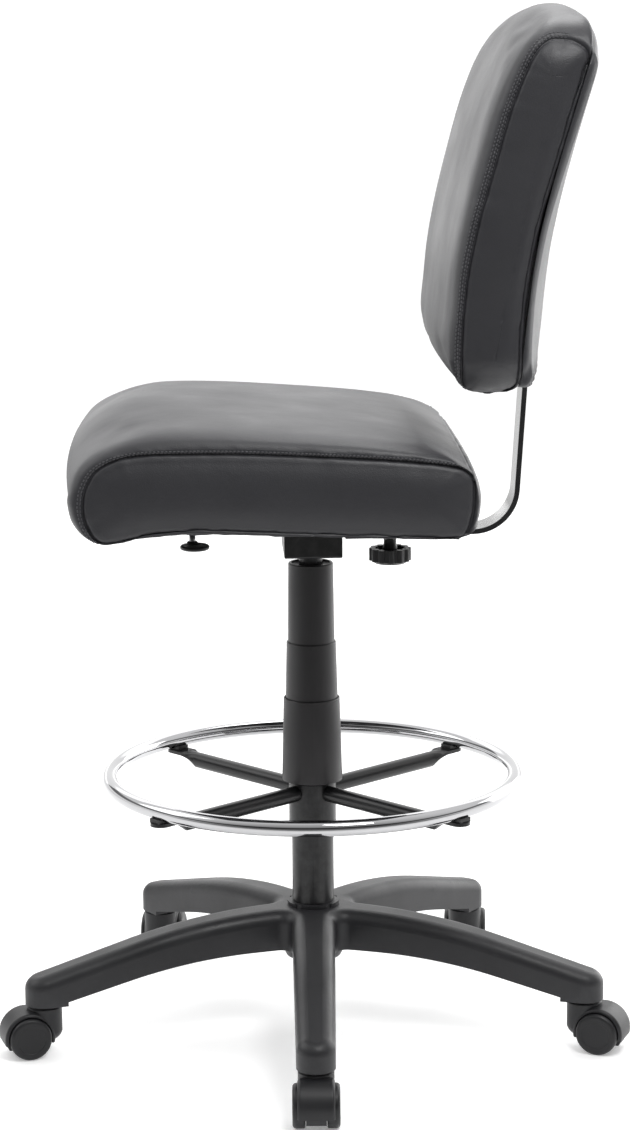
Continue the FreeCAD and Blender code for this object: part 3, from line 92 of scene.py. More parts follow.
def soft_light(name, place, aim, size, power):
    data = bpy.data.lights.new(name, "AREA")
    data.shape = "RECTANGLE"
    data.size, data.size_y = size
    data.energy = power
    lamp = bpy.data.objects.new(name, data)
    lamp.location = place
    lamp.rotation_euler = (Vector(aim) - Vector(place)).to_track_quat("-Z", "Y").to_euler()
    lamp.visible_camera = False
    bpy.context.scene.collection.objects.link(lamp)


def map_range(tree, value, low, high, to_low, to_high, curve="SMOOTHSTEP"):
    """A smooth ramp of a socket's value."""
    node = tree.nodes.new("ShaderNodeMapRange")
    node.interpolation_type = curve
    for socket, number in (("From Min", low), ("From Max", high), ("To Min", to_low),
                           ("To Max", to_high)):
        node.inputs[socket].default_value = number
    tree.links.new(value, node.inputs["Value"])
    return node.outputs["Result"]


def times(tree, a, b):
    """One socket's value multiplied by another's."""
    node = tree.nodes.new("ShaderNodeMath")
    node.operation = "MULTIPLY"
    tree.links.new(a, node.inputs[0])
    tree.links.new(b, node.inputs[1])
    return node.outputs[0]


STUDIO_LIGHT = 1.25
STUDIO_DARK = 0.13
FLOOR_RADIUS = 60.0
FLOOR_PALE = (0.93, 0.93, 0.93)
# Painted shade: the floor's colour behind the camera. Painted glow: the floor's emission strength
# where it is fully lit.
FLOOR_PAINTED_SHADE = (0.24, 0.24, 0.24)
FLOOR_PAINTED_GLOW = 0.26


def make_world():
    """A pale studio, darker where the camera stands and between the floor's edge and the lights."""
    world = bpy.data.worlds.new("studio")
    world.use_nodes = True
    bpy.context.scene.world = world
    tree = world.node_tree
    tree.nodes.clear()
    place = tree.nodes.new("ShaderNodeTexCoord")
    split = tree.nodes.new("ShaderNodeSeparateXYZ")
    camera_side = map_range(tree, split.outputs["X"], -0.25, 1.0, 0.0, 1.0)
    height = tree.nodes.new("ShaderNodeMath")
    height.operation = "ABSOLUTE"
    tree.links.new(split.outputs["Z"], height.inputs[0])
    near_level = map_range(tree, height.outputs[0], 0.15, 0.7, 1.05, 0.6)
    shade = times(tree, camera_side, near_level)
    level = map_range(tree, shade, 0.0, 1.0, STUDIO_LIGHT, STUDIO_DARK, "LINEAR")
    gap = times(tree, map_range(tree, split.outputs["Z"], 0.13, 0.2, 0.0, 1.0),
                map_range(tree, split.outputs["Z"], 0.34, 0.42, 1.0, 0.15))
    level = times(tree, level, map_range(tree, gap, 0.0, 1.0, 1.0, 0.2, "LINEAR"))
    back = tree.nodes.new("ShaderNodeBackground")
    out = tree.nodes.new("ShaderNodeOutputWorld")
    tree.links.new(place.outputs["Generated"], split.inputs[0])
    tree.links.new(level, back.inputs["Strength"])
    tree.links.new(back.outputs[0], out.inputs["Surface"])
    back.inputs["Color"].default_value = (1.0, 1.0, 1.0, 1.0)


def make_floor():
    """A pale floor with painted light: painted shade darkens it behind the camera so that the
    chrome has something to show, and a painted glow, a weak emission, fades out towards the camera.
    """
    bm = bmesh.new()
    bmesh.ops.create_circle(bm, cap_ends=True, radius=FLOOR_RADIUS, segments=96)
    mesh = bpy.data.meshes.new("floor")
    bm.to_mesh(mesh)
    bm.free()
    floor = bpy.data.objects.new("floor", mesh)
    bpy.context.scene.collection.objects.link(floor)
    look = Look("floor_painted_light", FLOOR_PALE, 0.6)
    split = look.tree.nodes.new("ShaderNodeSeparateXYZ")
    look.join(look.place, split.inputs[0])
    # How far the floor carries its painted light: 1 away from the camera, 0 behind it.
    lit = map_range(look.tree, split.outputs["X"], 0.42, 1.7, 1.0, 0.0)
    pale = look.mix(look.noise(1.5, 3), (0.925, 0.925, 0.925), (0.94, 0.94, 0.94))
    # Painted shade: the floor's colour darkens towards the camera.
    look.tint(lit, FLOOR_PAINTED_SHADE, pale)
    look.set("Emission Color", (1.0, 1.0, 1.0, 1.0))
    # Painted glow: the floor emits light, strongest away from the camera, though it is no lamp.
    look.join(look.times(lit, FLOOR_PAINTED_GLOW), look.shader.inputs["Emission Strength"])
    mesh.materials.append(look.material)


# ---------------------------------------------------------------- materials

class Look:
    """A procedural material: one glossy shader, with patterns fixed to the piece."""

    def __init__(self, name, colour, roughness, metallic=0.0):
        self.material = bpy.data.materials.new(name)
        self.material.use_nodes = True
        self.tree = self.material.node_tree
        self.shader = self.tree.nodes["Principled BSDF"]
        self.place = self.tree.nodes.new("ShaderNodeTexCoord").outputs["Object"]
        self.set("Base Color", (*colour, 1.0))
        self.set("Roughness", roughness)
        self.set("Metallic", metallic)
        self.bump_before = None

    def set(self, socket, value):
        self.shader.inputs[socket].default_value = value

    def join(self, start, end):
        self.tree.links.new(start, end)

    def stretched(self, factors):
        node = self.tree.nodes.new("ShaderNodeMapping")
        node.inputs["Scale"].default_value = factors
        self.join(self.place, node.inputs["Vector"])
        return node.outputs[0]

    def noise(self, scale, detail=2.0, rough=0.5, place=None, distort=0.0):
        node = self.tree.nodes.new("ShaderNodeTexNoise")
        node.inputs["Scale"].default_value = scale
        node.inputs["Detail"].default_value = detail
        node.inputs["Roughness"].default_value = rough
        node.inputs["Distortion"].default_value = distort
        self.join(place or self.place, node.inputs["Vector"])
        return node.outputs["Fac"]

    def cells(self, scale, feature="F1"):
        node = self.tree.nodes.new("ShaderNodeTexVoronoi")
        node.feature = feature
        node.inputs["Scale"].default_value = scale
        self.join(self.place, node.inputs["Vector"])
        return node.outputs["Distance"]

    def spread(self, value, low, high, to_low=0.0, to_high=1.0):
        node = self.tree.nodes.new("ShaderNodeMapRange")
        node.inputs["From Min"].default_value = low
        node.inputs["From Max"].default_value = high
        node.inputs["To Min"].default_value = to_low
        node.inputs["To Max"].default_value = to_high
        self.join(value, node.inputs["Value"])
        return node.outputs["Result"]

    def times(self, value, share):
        """A value multiplied by a number or by another value."""
        node = self.tree.nodes.new("ShaderNodeMath")
        node.operation = "MULTIPLY"
        self.join(value, node.inputs[0])
        if isinstance(share, float):
            node.inputs[1].default_value = share
        else:
            self.join(share, node.inputs[1])
        return node.outputs[0]

    def edges(self, low, high):
        """How much a place stands out as a convex edge."""
        node = self.tree.nodes.new("ShaderNodeNewGeometry")
        return self.spread(node.outputs["Pointiness"], low, high)

    def mix(self, factor, a, b):
        """A colour between two, each a tuple or another colour's socket."""
        node = self.tree.nodes.new("ShaderNodeMix")
        node.data_type = "RGBA"
        self.join(factor, node.inputs["Factor"])
        for socket, value in ((node.inputs[6], a), (node.inputs[7], b)):
            if isinstance(value, tuple):
                socket.default_value = (*value, 1.0)
            else:
                self.join(value, socket)
        return node.outputs[2]

    def tint(self, factor, a, b):
        self.join(self.mix(factor, a, b), self.shader.inputs["Base Color"])

    def worn(self, base, worn_colour, low=0.5, high=0.62, amount=0.6):
        """Rubbed edges, broken up so that they aren't even."""
        patchy = self.times(self.edges(low, high), self.noise(90, 4))
        factor = self.spread(patchy, 0.15, 0.6, 0.0, amount)
        self.join(self.mix(factor, base, worn_colour), self.shader.inputs["Base Color"])

    def gloss(self, factor, low, high):
        self.join(self.spread(factor, 0.3, 0.7, low, high), self.shader.inputs["Roughness"])

    def bump(self, height, depth, strength):
        """Relief of a depth in metres, on top of the relief before it."""
        node = self.tree.nodes.new("ShaderNodeBump")
        node.inputs["Strength"].default_value = strength
        node.inputs["Distance"].default_value = depth
        self.join(height, node.inputs["Height"])
        if self.bump_before is not None:
            self.join(self.bump_before, node.inputs["Normal"])
        self.bump_before = node.outputs[0]
        self.join(self.bump_before, self.shader.inputs["Normal"])


def vinyl(name, dark, light, rough=(0.42, 0.52)):
    """Soft grained vinyl: fine pebbled cells, faint creases and slow changes of sheen."""
    look = Look(name, dark, rough[0])
    look.tint(look.noise(14, 4), dark, light)
    look.gloss(look.noise(9, 3), *rough)
    warped = look.noise(260, 3)
    pebble = look.spread(look.cells(820, "SMOOTH_F1"), 0.0, 0.7)
    look.bump(pebble, 0.00022, 0.5)
    look.bump(warped, 0.0003, 0.35)
    look.bump(look.noise(38, 3, distort=0.4), 0.0012, 0.35)
    look.set("Specular IOR Level", 0.5)
    return look.material


def moulded(name, colour, rough=0.45, grain=2200, wear=0.5):
    """Moulded plastic: a fine eroded texture, flow marks and rubbed edges."""
    look = Look(name, colour, rough)
    lighter = tuple(c * 1.35 + 0.004 for c in colour)
    base = look.mix(look.noise(11, 4), colour, lighter)
    look.worn(base, tuple(c * 2.2 + 0.01 for c in colour), amount=wear)
    look.gloss(look.noise(16, 4), rough - 0.05, rough + 0.07)
    look.bump(look.noise(grain, 2), 0.00012, 0.5)
    look.bump(look.noise(30, 2), 0.0006, 0.2)
    look.set("Specular IOR Level", 0.38)
    return look.material


def painted(name, colour, rough=0.3, shine=0.36):
    """Satin powder coat: a slight orange peel, dust-fine specks and thin edges."""
    look = Look(name, colour, rough)
    base = look.mix(look.spread(look.noise(900, 2), 0.6, 0.75), colour,
                    tuple(c * 1.8 + 0.006 for c in colour))
    look.worn(base, (0.12, 0.12, 0.125), 0.58, 0.7, 0.3)
    look.gloss(look.noise(20, 4), rough, rough + 0.05)
    look.bump(look.noise(420, 2), 0.00018, 0.15)
    look.bump(look.cells(1500), 0.00008, 0.3)
    look.set("Specular IOR Level", shine)
    return look.material


def polished(name, colour=(0.5, 0.5, 0.51), rough=0.06):
    """Chrome plate with faint polishing haze and fingerprints."""
    look = Look(name, colour, rough, 1.0)
    look.tint(look.noise(6, 3), colour, tuple(c * 0.93 for c in colour))
    smear = look.spread(look.noise(7, 6, 0.6, distort=0.8), 0.45, 0.75)
    look.gloss(smear, rough, rough + 0.07)
    look.bump(look.noise(55, 2), 0.0003, 0.06)
    return look.material


def steel(name, colour, rough=0.3, lines=(1.0, 1.0, 1.0)):
    """Plain or zinc-plated steel with drawn lines and dull spots."""
    look = Look(name, colour, rough, 1.0)
    drawn = look.noise(600, 3, 0.6, place=look.stretched(lines))
    blotch = look.noise(70, 4)
    look.tint(blotch, tuple(c * 0.75 for c in colour), colour)
    look.gloss(drawn, rough - 0.06, rough + 0.14)
    look.bump(drawn, 0.0001, 0.3)
    return look.material


def plywood(name, dark, light):
    """Plywood between a dark and a light colour, with its grain along Y."""
    look = Look(name, dark, 0.6)
    grain = look.noise(18, 6, 0.7, place=look.stretched((14.0, 1.0, 20.0)), distort=0.6)
    look.tint(look.spread(grain, 0.35, 0.65), dark, light)
    look.gloss(grain, 0.5, 0.68)
    look.bump(grain, 0.0003, 0.4)
    return look.material


def unwoven(name):
    """Pressed black dust cloth, with the dimples that bond its fibres."""
    look = Look(name, (0.02, 0.02, 0.021), 0.9)
    fibres = look.noise(500, 5, 0.8, distort=1.0)
    look.tint(fibres, (0.012, 0.012, 0.013), (0.04, 0.04, 0.042))
    look.gloss(fibres, 0.8, 0.98)
    look.bump(look.spread(look.cells(520), 0.0, 0.5), 0.0003, 0.7)
    look.bump(fibres, 0.0003, 0.6)
    return look.material


def thread(name, colour):
    """Twisted sewing thread."""
    look = Look(name, colour, 0.5)
    twist = look.noise(2500, 2)
    look.tint(twist, colour, tuple(c * 1.7 for c in colour))
    look.gloss(twist, 0.4, 0.6)
    look.bump(twist, 0.0001, 0.6)
    return look.material


def dress(material, *names):
    """Gives CAD nodes a material."""
    for name in names:
        mesh = nodes[name].data
        mesh.materials.clear()
        mesh.materials.append(material)
        for face in mesh.polygons:
            face.material_index = 0


def each_castor(pattern):
    return [pattern % name for name in CASTORS]


def dress_frame():
    """The materials of the hard CAD nodes."""
    dress(moulded("base_plastic", (0.013, 0.013, 0.0145), 0.42), "star_base")
    dress(moulded("castor_plastic", (0.008, 0.008, 0.0092), 0.42), *each_castor("caster_hood_%s"))
    dress(moulded("wheel_nylon", (0.006, 0.006, 0.007), 0.4, 2600, 0.3),
          *each_castor("caster_wheel_%s_a"), *each_castor("caster_wheel_%s_b"))
    dress(steel("zinc_plate", (0.6, 0.6, 0.62), 0.32),
          *each_castor("caster_pins_%s"), "caster_sockets", "rod_clip", "seat_bolts",
          "seat_tee_nuts", "back_bolts", "thrust_bearing", "lever_pivot", "clamp_nut",
          "foot_ring_stud", "depth_stud", "taper_socket", "release_button")
    dress(steel("ground_rod", (0.55, 0.55, 0.57), 0.16, (1.0, 1.0, 0.02)), "piston_rod")
    dress(painted("black_coat", (0.006, 0.006, 0.0065), 0.27),
          "column_tube", "foot_ring_hub", "foot_ring_spokes", "seat_plate")
    dress(painted("box_coat", (0.006, 0.006, 0.006), 0.34), "mechanism_housing", "back_guide")
    dress(painted("bar_coat", (0.006, 0.006, 0.0065), 0.05, 0.6), "j_bar")
    dress(painted("cylinder_coat", (0.05, 0.05, 0.052), 0.22), "gas_cylinder")
    dress(polished("chrome_plate"), "foot_ring")
    dress(steel("lever_steel", (0.42, 0.42, 0.43), 0.3, (0.04, 1.0, 1.0)), "lever_rod")
    dress(moulded("cover_plastic", (0.017, 0.016, 0.017), 0.4, 1800, 0.35),
          "cover_lower", "cover_middle", "cover_top", "column_bushing")
    dress(moulded("trim_plastic", (0.008, 0.008, 0.0085), 0.36),
          "foot_ring_saddles", "foot_ring_knob", "depth_knob", "lever_paddle", "back_sleeve")
    dress(steel("screw_steel", (0.1, 0.1, 0.105), 0.35), "foot_ring_screws")
    # The boards are near black: where their edges show between the cushions, this is painted shade
    # standing in for the dark gaps.
    dress(plywood("dark_board_painted_gap_shade", (0.006, 0.006, 0.006), (0.016, 0.014, 0.012)),
          "seat_pan", "back_board")


# ---------------------------------------------------------------- padded shapes

def smooth_ring(points, per_span):
    """A closed outline through (y, z) points in millimetres, with per_span points for each."""
    ring = np.array(points, float) * MM
    t = (np.arange(per_span) / per_span)[:, None]
    spans = []
    for i in range(len(ring)):
        before, start, end, after = (ring[(i + k) % len(ring)] for k in (-1, 0, 1, 2))
        spans.append(0.5 * (2 * start + (end - before) * t
                            + (2 * before - 5 * start + 4 * end - after) * t ** 2
                            + (3 * start - before - 3 * end + after) * t ** 3))
    return np.vstack(spans)


def shoulder(half, crown, power, rows, drop=0.04):
    """Evenly spaced (x, share) from one side seam to the other; share is 0 in the middle and 1
    at the seams."""
    turn = np.linspace(0, math.pi / 2, 400)
    t = np.unique(np.concatenate([np.sin(turn) ** (2 / power), np.linspace(0, 1, 200)]))
    share = crown * t ** 2 + (1 - crown) * (1 - np.maximum(1 - t ** power, 0) ** (1 / power))
    along = np.concatenate([[0.0], np.cumsum(np.hypot(np.diff(t * half), np.diff(share * drop)))])
    even = np.linspace(0, along[-1], rows // 2 + 1)
    x, share = np.interp(even, along, t * half), np.interp(even, along, share)
    return list(zip(-x[:0:-1], share[:0:-1])) + list(zip(x, share))


def nearest_on(line, points):
    """The place nearest to each point on a line of straight pieces."""
    found, gap = np.zeros_like(points), np.full(len(points), np.inf)
    for start, end in zip(line[:-1], line[1:]):
        along = np.clip((points - start) @ (end - start) / np.sum((end - start) ** 2), 0, 1)
        place = start + along[:, None] * (end - start)
        away = np.linalg.norm(points - place, axis=1)
        nearer = away < gap
        found[nearer], gap[nearer] = place[nearer], away[nearer]
    return found


class Padding:
    """A padded form as a grid: row by row across X, column by column round its side outline."""

    PER_SPAN = 6

    def __init__(self, edge, middle, half, crown, power, bulge, spine, rows=31, cap_rows=6):
        """edge and middle are outlines at the side seam and at X = 0. Between them the form is a
        crown with shoulders: a higher power makes a tighter shoulder. The side panels close
        towards spine, a line of (y, z) points, and bulge out past half."""
        edge = smooth_ring(edge, self.PER_SPAN)
        middle = smooth_ring(middle, self.PER_SPAN)
        grid = []
        for x, share in shoulder(half, crown, power, rows):
            ring = middle * (1 - share) + edge * share
            grid.append(np.column_stack([np.full(len(ring), x), ring]))
        centre = nearest_on(np.array(spine, float) * MM, edge)
        caps = []
        for k in range(1, cap_rows + 1):
            size = 1 - 0.98 * k / cap_rows
            ring = centre + (edge - centre) * size
            caps.append(np.column_stack([np.full(len(ring), half + bulge * (1 - size ** 2.2)),
                                         ring]))
        mirrored = [ring * (-1, 1, 1) for ring in caps]
        self.grid = np.array(mirrored[::-1] + grid + caps)
        self.seams = [cap_rows, cap_rows + rows - 1]

    def round_corners(self, half, low, high, low_round, high_round):
        """Rounds the corners of the front view, by drawing the sides in near low and high."""
        height = self.grid[..., 2]
        for end, way, radius in ((low, -1, low_round), (high, 1, high_round)):
            past = np.clip((height - (end - way * radius)) * way, 0, 0.98 * radius)
            reach = half - radius + np.sqrt(radius ** 2 - past ** 2)
            self.grid[..., 0] *= reach / half

    def faces(self):
        """The grid's quads, and the two open end rings."""
        rows, columns = self.grid.shape[:2]
        index = np.arange(rows * columns).reshape(rows, columns)
        after = np.roll(index, -1, axis=1)
        quads = np.stack([index[:-1], index[1:], after[1:], after[:-1]], axis=-1).reshape(-1, 4)
        return quads.tolist(), [index[0].tolist(), index[-1][::-1].tolist()]

    def mesh(self, name):
        """The grid as a closed mesh, with quads across its end rings."""
        quads, ends = self.faces()
        mesh = bpy.data.meshes.new(name)
        mesh.from_pydata(self.grid.reshape(-1, 3).tolist(), [], quads)
        bm = bmesh.new()
        bm.from_mesh(mesh)
        bm.verts.ensure_lookup_table()
        half = len(ends[0]) // 2
        for ring in ends:
            for i in range(half):
                a, b = ring[i], ring[(i + 1) % len(ring)]
                c, d = ring[-(i + 1) - 1], ring[-(i + 1)]
                corners = list(dict.fromkeys([a, b, c, d]))
                if len(corners) > 2 and not bm.faces.get([bm.verts[k] for k in corners]):
                    bm.faces.new([bm.verts[k] for k in corners])
        bmesh.ops.recalc_face_normals(bm, faces=bm.faces)
        bm.to_mesh(mesh)
        bm.free()
        return mesh

    def inflate(self, name, held, pressure=4.0, cap=0.004, frames=20, smooth=6):
        """Blows the panels up as cloth between the places that are held, by at most cap."""
        mesh = self.mesh(name + "_cloth")
        cloth = bpy.data.objects.new(name + "_cloth", mesh)
        bpy.context.scene.collection.objects.link(cloth)
        group = cloth.vertex_groups.new(name="held")
        for index in np.flatnonzero(held.reshape(-1) > 0):
            group.add([int(index)], float(held.reshape(-1)[index]), "REPLACE")
        modifier = cloth.modifiers.new("cloth", "CLOTH")
        settings = modifier.settings
        settings.use_pressure = True
        settings.uniform_pressure_force = pressure
        settings.vertex_group_mass = "held"
        settings.pin_stiffness = 1.0
        settings.quality = 6
        settings.effector_weights.gravity = 0.0
        settings.tension_stiffness = 12
        settings.compression_stiffness = 12
        settings.bending_stiffness = 1.5
        modifier.collision_settings.use_collision = False
        scene = bpy.context.scene
        modifier.point_cache.frame_start = 1
        modifier.point_cache.frame_end = frames
        for number in range(1, frames + 1):
            scene.frame_set(number)
        shape = cloth.evaluated_get(bpy.context.evaluated_depsgraph_get()).data
        blown = np.array([v.co for v in shape.vertices], float).reshape(self.grid.shape)
        scene.frame_set(1)
        bpy.data.objects.remove(cloth)
        moved = blown - self.grid
        for _ in range(smooth):
            inner = moved[1:-1]
            near = (np.roll(inner, 1, axis=1) + np.roll(inner, -1, axis=1)
                    + moved[:-2] + moved[2:]) / 4
            moved[1:-1] = inner + 0.5 * (near - inner)
        moved *= (held < 1)[..., None]
        length = np.linalg.norm(moved, axis=-1, keepdims=True)
        moved *= np.minimum(1.0, cap / np.maximum(length, 1e-9))
        self.grid = self.grid + moved

    def refine(self, marks_rows, marks_columns, near=(0.1, 0.25, 0.5), steps=2):
        """Adds rows and columns, closer together beside the marked ones, and returns where
        the marked ones went."""
        rows, columns = self.grid.shape[:2]

        def places(count, marks, closed):
            last = count * steps if closed else (count - 1) * steps + 1
            places = set(np.round(np.arange(last) / steps, 4))
            for mark in marks:
                for gap in near:
                    for place in (mark - gap, mark + gap):
                        places.add(round(place % count if closed else place, 4))
            return np.array(sorted(places))

        def weights(at, count, closed):
            """Each new place as a smooth curve's share of the four old ones round it."""
            matrix = np.zeros((len(at), count))
            for row, place in enumerate(at):
                base = int(math.floor(place + 1e-9))
                t = place - base
                terms = (-0.5 * t + t * t - 0.5 * t ** 3, 1 - 2.5 * t * t + 1.5 * t ** 3,
                         0.5 * t + 2 * t * t - 1.5 * t ** 3, -0.5 * t * t + 0.5 * t ** 3)
                for k, weight in zip((-1, 0, 1, 2), terms):
                    index = base + k
                    index = index % count if closed else min(max(index, 0), count - 1)
                    matrix[row, index] += weight
            return matrix

        at_rows = places(rows, marks_rows, False)
        at_columns = places(columns, marks_columns, True)
        wide = np.einsum("ij,jkl->ikl", weights(at_rows, rows, False), self.grid)
        self.grid = np.einsum("ij,kjl->kil", weights(at_columns, columns, True), wide)
        found_rows = [int(np.argmin(abs(at_rows - m))) for m in marks_rows]
        found_columns = [int(np.argmin(abs(at_columns - m))) for m in marks_columns]
        return found_rows, found_columns

    def normals(self):
        """The outward normal at each place of the grid."""
        down = np.gradient(self.grid, axis=0)
        wrapped = np.concatenate([self.grid[:, -1:], self.grid, self.grid[:, :1]], axis=1)
        round_ = (wrapped[:, 2:] - wrapped[:, :-2]) / 2
        out = np.cross(down, round_)
        out /= np.maximum(np.linalg.norm(out, axis=-1, keepdims=True), 1e-12)
        middle = self.grid.reshape(-1, 3).mean(0)
        if np.mean(np.sum(out * (self.grid - middle), axis=-1)) < 0:
            out = -out
        return out

    def press(self, line, depth, width, rim=0.0):
        """A sewn valley along a line of points (one for each row or column), with a soft rim."""
        gap = np.linalg.norm(self.grid - line, axis=-1)
        valley = -depth * np.exp(-(gap / width) ** 2)
        ridge = rim * np.exp(-((gap - 2.6 * width) / (1.6 * width)) ** 2)
        return valley + ridge

    def pucker(self, line, axis, depth, reach, wave, seed):
        """Small gathers across a seam, strongest next to it."""
        steps = np.linalg.norm(np.diff(line, axis=axis), axis=-1)
        along = np.concatenate([np.zeros_like(np.take(steps, [0], axis=axis)),
                                np.cumsum(steps, axis=axis)], axis=axis)
        rng = np.random.default_rng(seed)
        height = np.zeros_like(along)
        for k in range(5):
            length = wave * (0.6 + 0.35 * k)
            height = height + np.sin(along * 2 * math.pi / length + rng.uniform(0, 6.3))
        gap = np.linalg.norm(self.grid - line, axis=-1)
        return depth * height / 5 * np.exp(-gap / reach)

    def finish(self, name, material, body, node):
        """The grid as a padded piece that rides on a body and stands for a CAD node."""
        mesh = self.mesh(name)
        for face in mesh.polygons:
            face.use_smooth = True
        mesh.materials.append(material)
        piece = bpy.data.objects.new(name, mesh)
        bpy.context.scene.collection.objects.link(piece)
        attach(piece, body)
        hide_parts(node)
        return piece


def stitch_mesh(name, runs, material, body, length=0.003, radius=0.0007, pitch=0.0044):
    """Short rounded stitches laid along runs; each run is (points, outward normals)."""
    sides = 6
    verts, faces = [], []
    sections = ((-0.5, 0.35), (-0.3, 1.0), (0.3, 1.0), (0.5, 0.35))
    for points, normals in runs:
        gaps = np.linalg.norm(np.diff(points, axis=0), axis=1)
        along = np.concatenate([[0.0], np.cumsum(gaps)])
        for place in np.arange(pitch, along[-1] - pitch, pitch):
            at = np.array([np.interp(place, along, points[:, k]) for k in range(3)])
            ahead = np.array([np.interp(place + pitch / 2, along, points[:, k]) for k in range(3)])
            up = np.array([np.interp(place, along, normals[:, k]) for k in range(3)])
            forward = ahead - at
            forward /= max(np.linalg.norm(forward), 1e-9)
            up -= forward * np.dot(up, forward)
            up /= max(np.linalg.norm(up), 1e-9)
            side = np.cross(forward, up)
            start = len(verts)
            for shift, size in sections:
                for k in range(sides):
                    angle = 2 * math.pi * k / sides
                    verts.append(at + forward * shift * length + radius * size
                                 * (side * math.cos(angle) + up * (math.sin(angle) + 0.1)))
            for s in range(len(sections) - 1):
                for k in range(sides):
                    a = start + s * sides + k
                    b = start + s * sides + (k + 1) % sides
                    faces.append((a, b, b + sides, a + sides))
            faces.append(tuple(start + k for k in range(sides))[::-1])
            faces.append(tuple(start + (len(sections) - 1) * sides + k for k in range(sides)))
    mesh = bpy.data.meshes.new(name)
    mesh.from_pydata([tuple(v) for v in verts], [], faces)
    for face in mesh.polygons:
        face.use_smooth = True
    mesh.materials.append(material)
    piece = bpy.data.objects.new(name, mesh)
    bpy.context.scene.collection.objects.link(piece)
    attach(piece, body)
    return piece


# ---------------------------------------------------------------- seat

SEAT_EDGE = ((-240, 637), (-253, 649), (-260, 671), (-257, 697), (-241, 720), (-206, 733),
             (-150, 735), (-80, 734), (0, 730), (80, 725), (138, 719), (162, 713),
             (172, 699), (172, 672), (166, 646), (150, 637), (70, 639), (-40, 644),
             (-130, 648), (-186, 645), (-219, 638))
SEAT_MIDDLE = ((-256, 640), (-273, 651), (-284, 673), (-286, 700), (-271, 727), (-241, 747.5),
               (-195, 759), (-125, 759.5), (-40, 754), (50, 745.5), (113, 736), (146, 728),
               (171, 712), (184, 690), (183, 660), (172, 646), (70, 648), (-40, 650),
               (-130, 650), (-195, 648), (-234, 640))
SEAT_HALF = 0.235
SEAT_REAR_SEAM = 12   # the outline's point where the rear seam runs
SEAT_UNDER = 15       # the outline's point where the underside begins
SEAT_SEED = 7


def hold_seams(padding, columns):
    """Where the cloth is sewn or stapled down: the seams, and the underside."""
    held = np.zeros(padding.grid.shape[:2])
    for row in padding.seams:
        held[row] = 1.0
    held[:3] = 1.0
    held[-3:] = 1.0
    for first, last in columns:
        held[padding.seams[0]:padding.seams[1] + 1, first:last + 1] = 1.0
    return held


def make_seat(material, sewing):
    """The seat's cover: a wrap-round panel, two side panels, and a seam across its rear."""
    per = Padding.PER_SPAN
    seat = Padding(SEAT_EDGE, SEAT_MIDDLE, SEAT_HALF, crown=0.3, power=9.0, bulge=0.009,
                   spine=((-200, 688), (120, 682)))
    rear = SEAT_REAR_SEAM * per
    under = (SEAT_UNDER * per, len(SEAT_EDGE) * per - 1)
    held = hold_seams(seat, ((rear, rear), under))
    held[:, under[0]:under[1] + 1] = 1.0
    seat.inflate("seat", held)
    seams = list(seat.seams)
    rows, columns = seat.refine(seams, [rear])
    normals = seat.normals()
    lift = sew_side_seams(seat, rows, 0)
    inside = slice(rows[0], rows[1] + 1)
    line = seat.grid[:, columns[0]][:, None]
    across = (seat.press(line, 0.002, 0.0016, 0.0006)
              + seat.pucker(line, 0, 0.001, GATHER_REACH, 0.035, SEAT_SEED))
    lift[inside] += across[inside]
    seat.grid = seat.grid + normals * lift[..., None]
    seat.finish("seat_upholstery", material, "seat", "seat_cushion")
    make_stitches("seat", seat, rows, normals, sewing, (0.0038, 0.0072), 0.55)


def sew_side_seams(padding, rows, seed):
    """How far each place moves in or out for the side seams and the gathers beside them."""
    lift = np.zeros(padding.grid.shape[:2])
    for number, row in enumerate(rows):
        line = padding.grid[row][None]
        lift += padding.press(line, SEAM_DEPTH, SEAM_WIDTH, SEAM_RIM)
        lift += padding.pucker(line, 1, GATHER_DEPTH, GATHER_REACH, GATHER_WAVE, seed + number)
    return lift


def make_stitches(name, padding, rows, normals, sewing, offsets, share):
    """Rows of top stitching on the main panel, beside each side seam."""
    runs = []
    last = int(padding.grid.shape[1] * share)
    for number, row in enumerate(rows):
        step = 1 if number == 0 else -1
        for offset in offsets:
            points = []
            outs = []
            for column in range(0, last):
                path = padding.grid[row:row + 14 * step:step, column]
                gaps = np.concatenate([[0.0], np.cumsum(np.linalg.norm(np.diff(path, axis=0),
                                                                        axis=1))])
                points.append([np.interp(offset, gaps, path[:, k]) for k in range(3)])
                outs.append(normals[row + step, column])
            runs.append((np.array(points), np.array(outs)))
    stitch_mesh(name + "_stitches", runs, sewing, name)


# ---------------------------------------------------------------- back

BACK_EDGE = ((170, 794), (161, 807), (160, 845), (162, 880), (167, 925), (177, 975), (187, 1012),
             (198, 1050), (211, 1096), (223, 1129), (236, 1158), (248, 1174), (262, 1181),
             (282, 1178), (297.5, 1166), (294, 1146), (281.5, 1105), (269, 1063), (255, 1018),
             (245, 983), (236.5, 943), (230, 900), (226, 850), (225.5, 812), (218, 796),
             (196, 790))
BACK_MIDDLE = ((168, 792), (147, 812), (144, 850), (148, 892), (152, 930), (160, 975), (168, 1011),
               (178, 1051), (190, 1094), (203, 1130), (218, 1163), (237, 1192), (266, 1215),
               (297, 1215), (308, 1194), (297.5, 1155), (281, 1105), (268, 1063), (253, 1018),
               (243, 983), (235, 943), (229, 900), (225.5, 850), (224.5, 812), (214, 794),
               (192, 789))
BACK_HALF = 0.207
BACK_LOW, BACK_HIGH = 0.789, 1.213
BACK_REAR = (14, 23)   # the outline's points between which its flat rear runs
BACK_SEED = 20


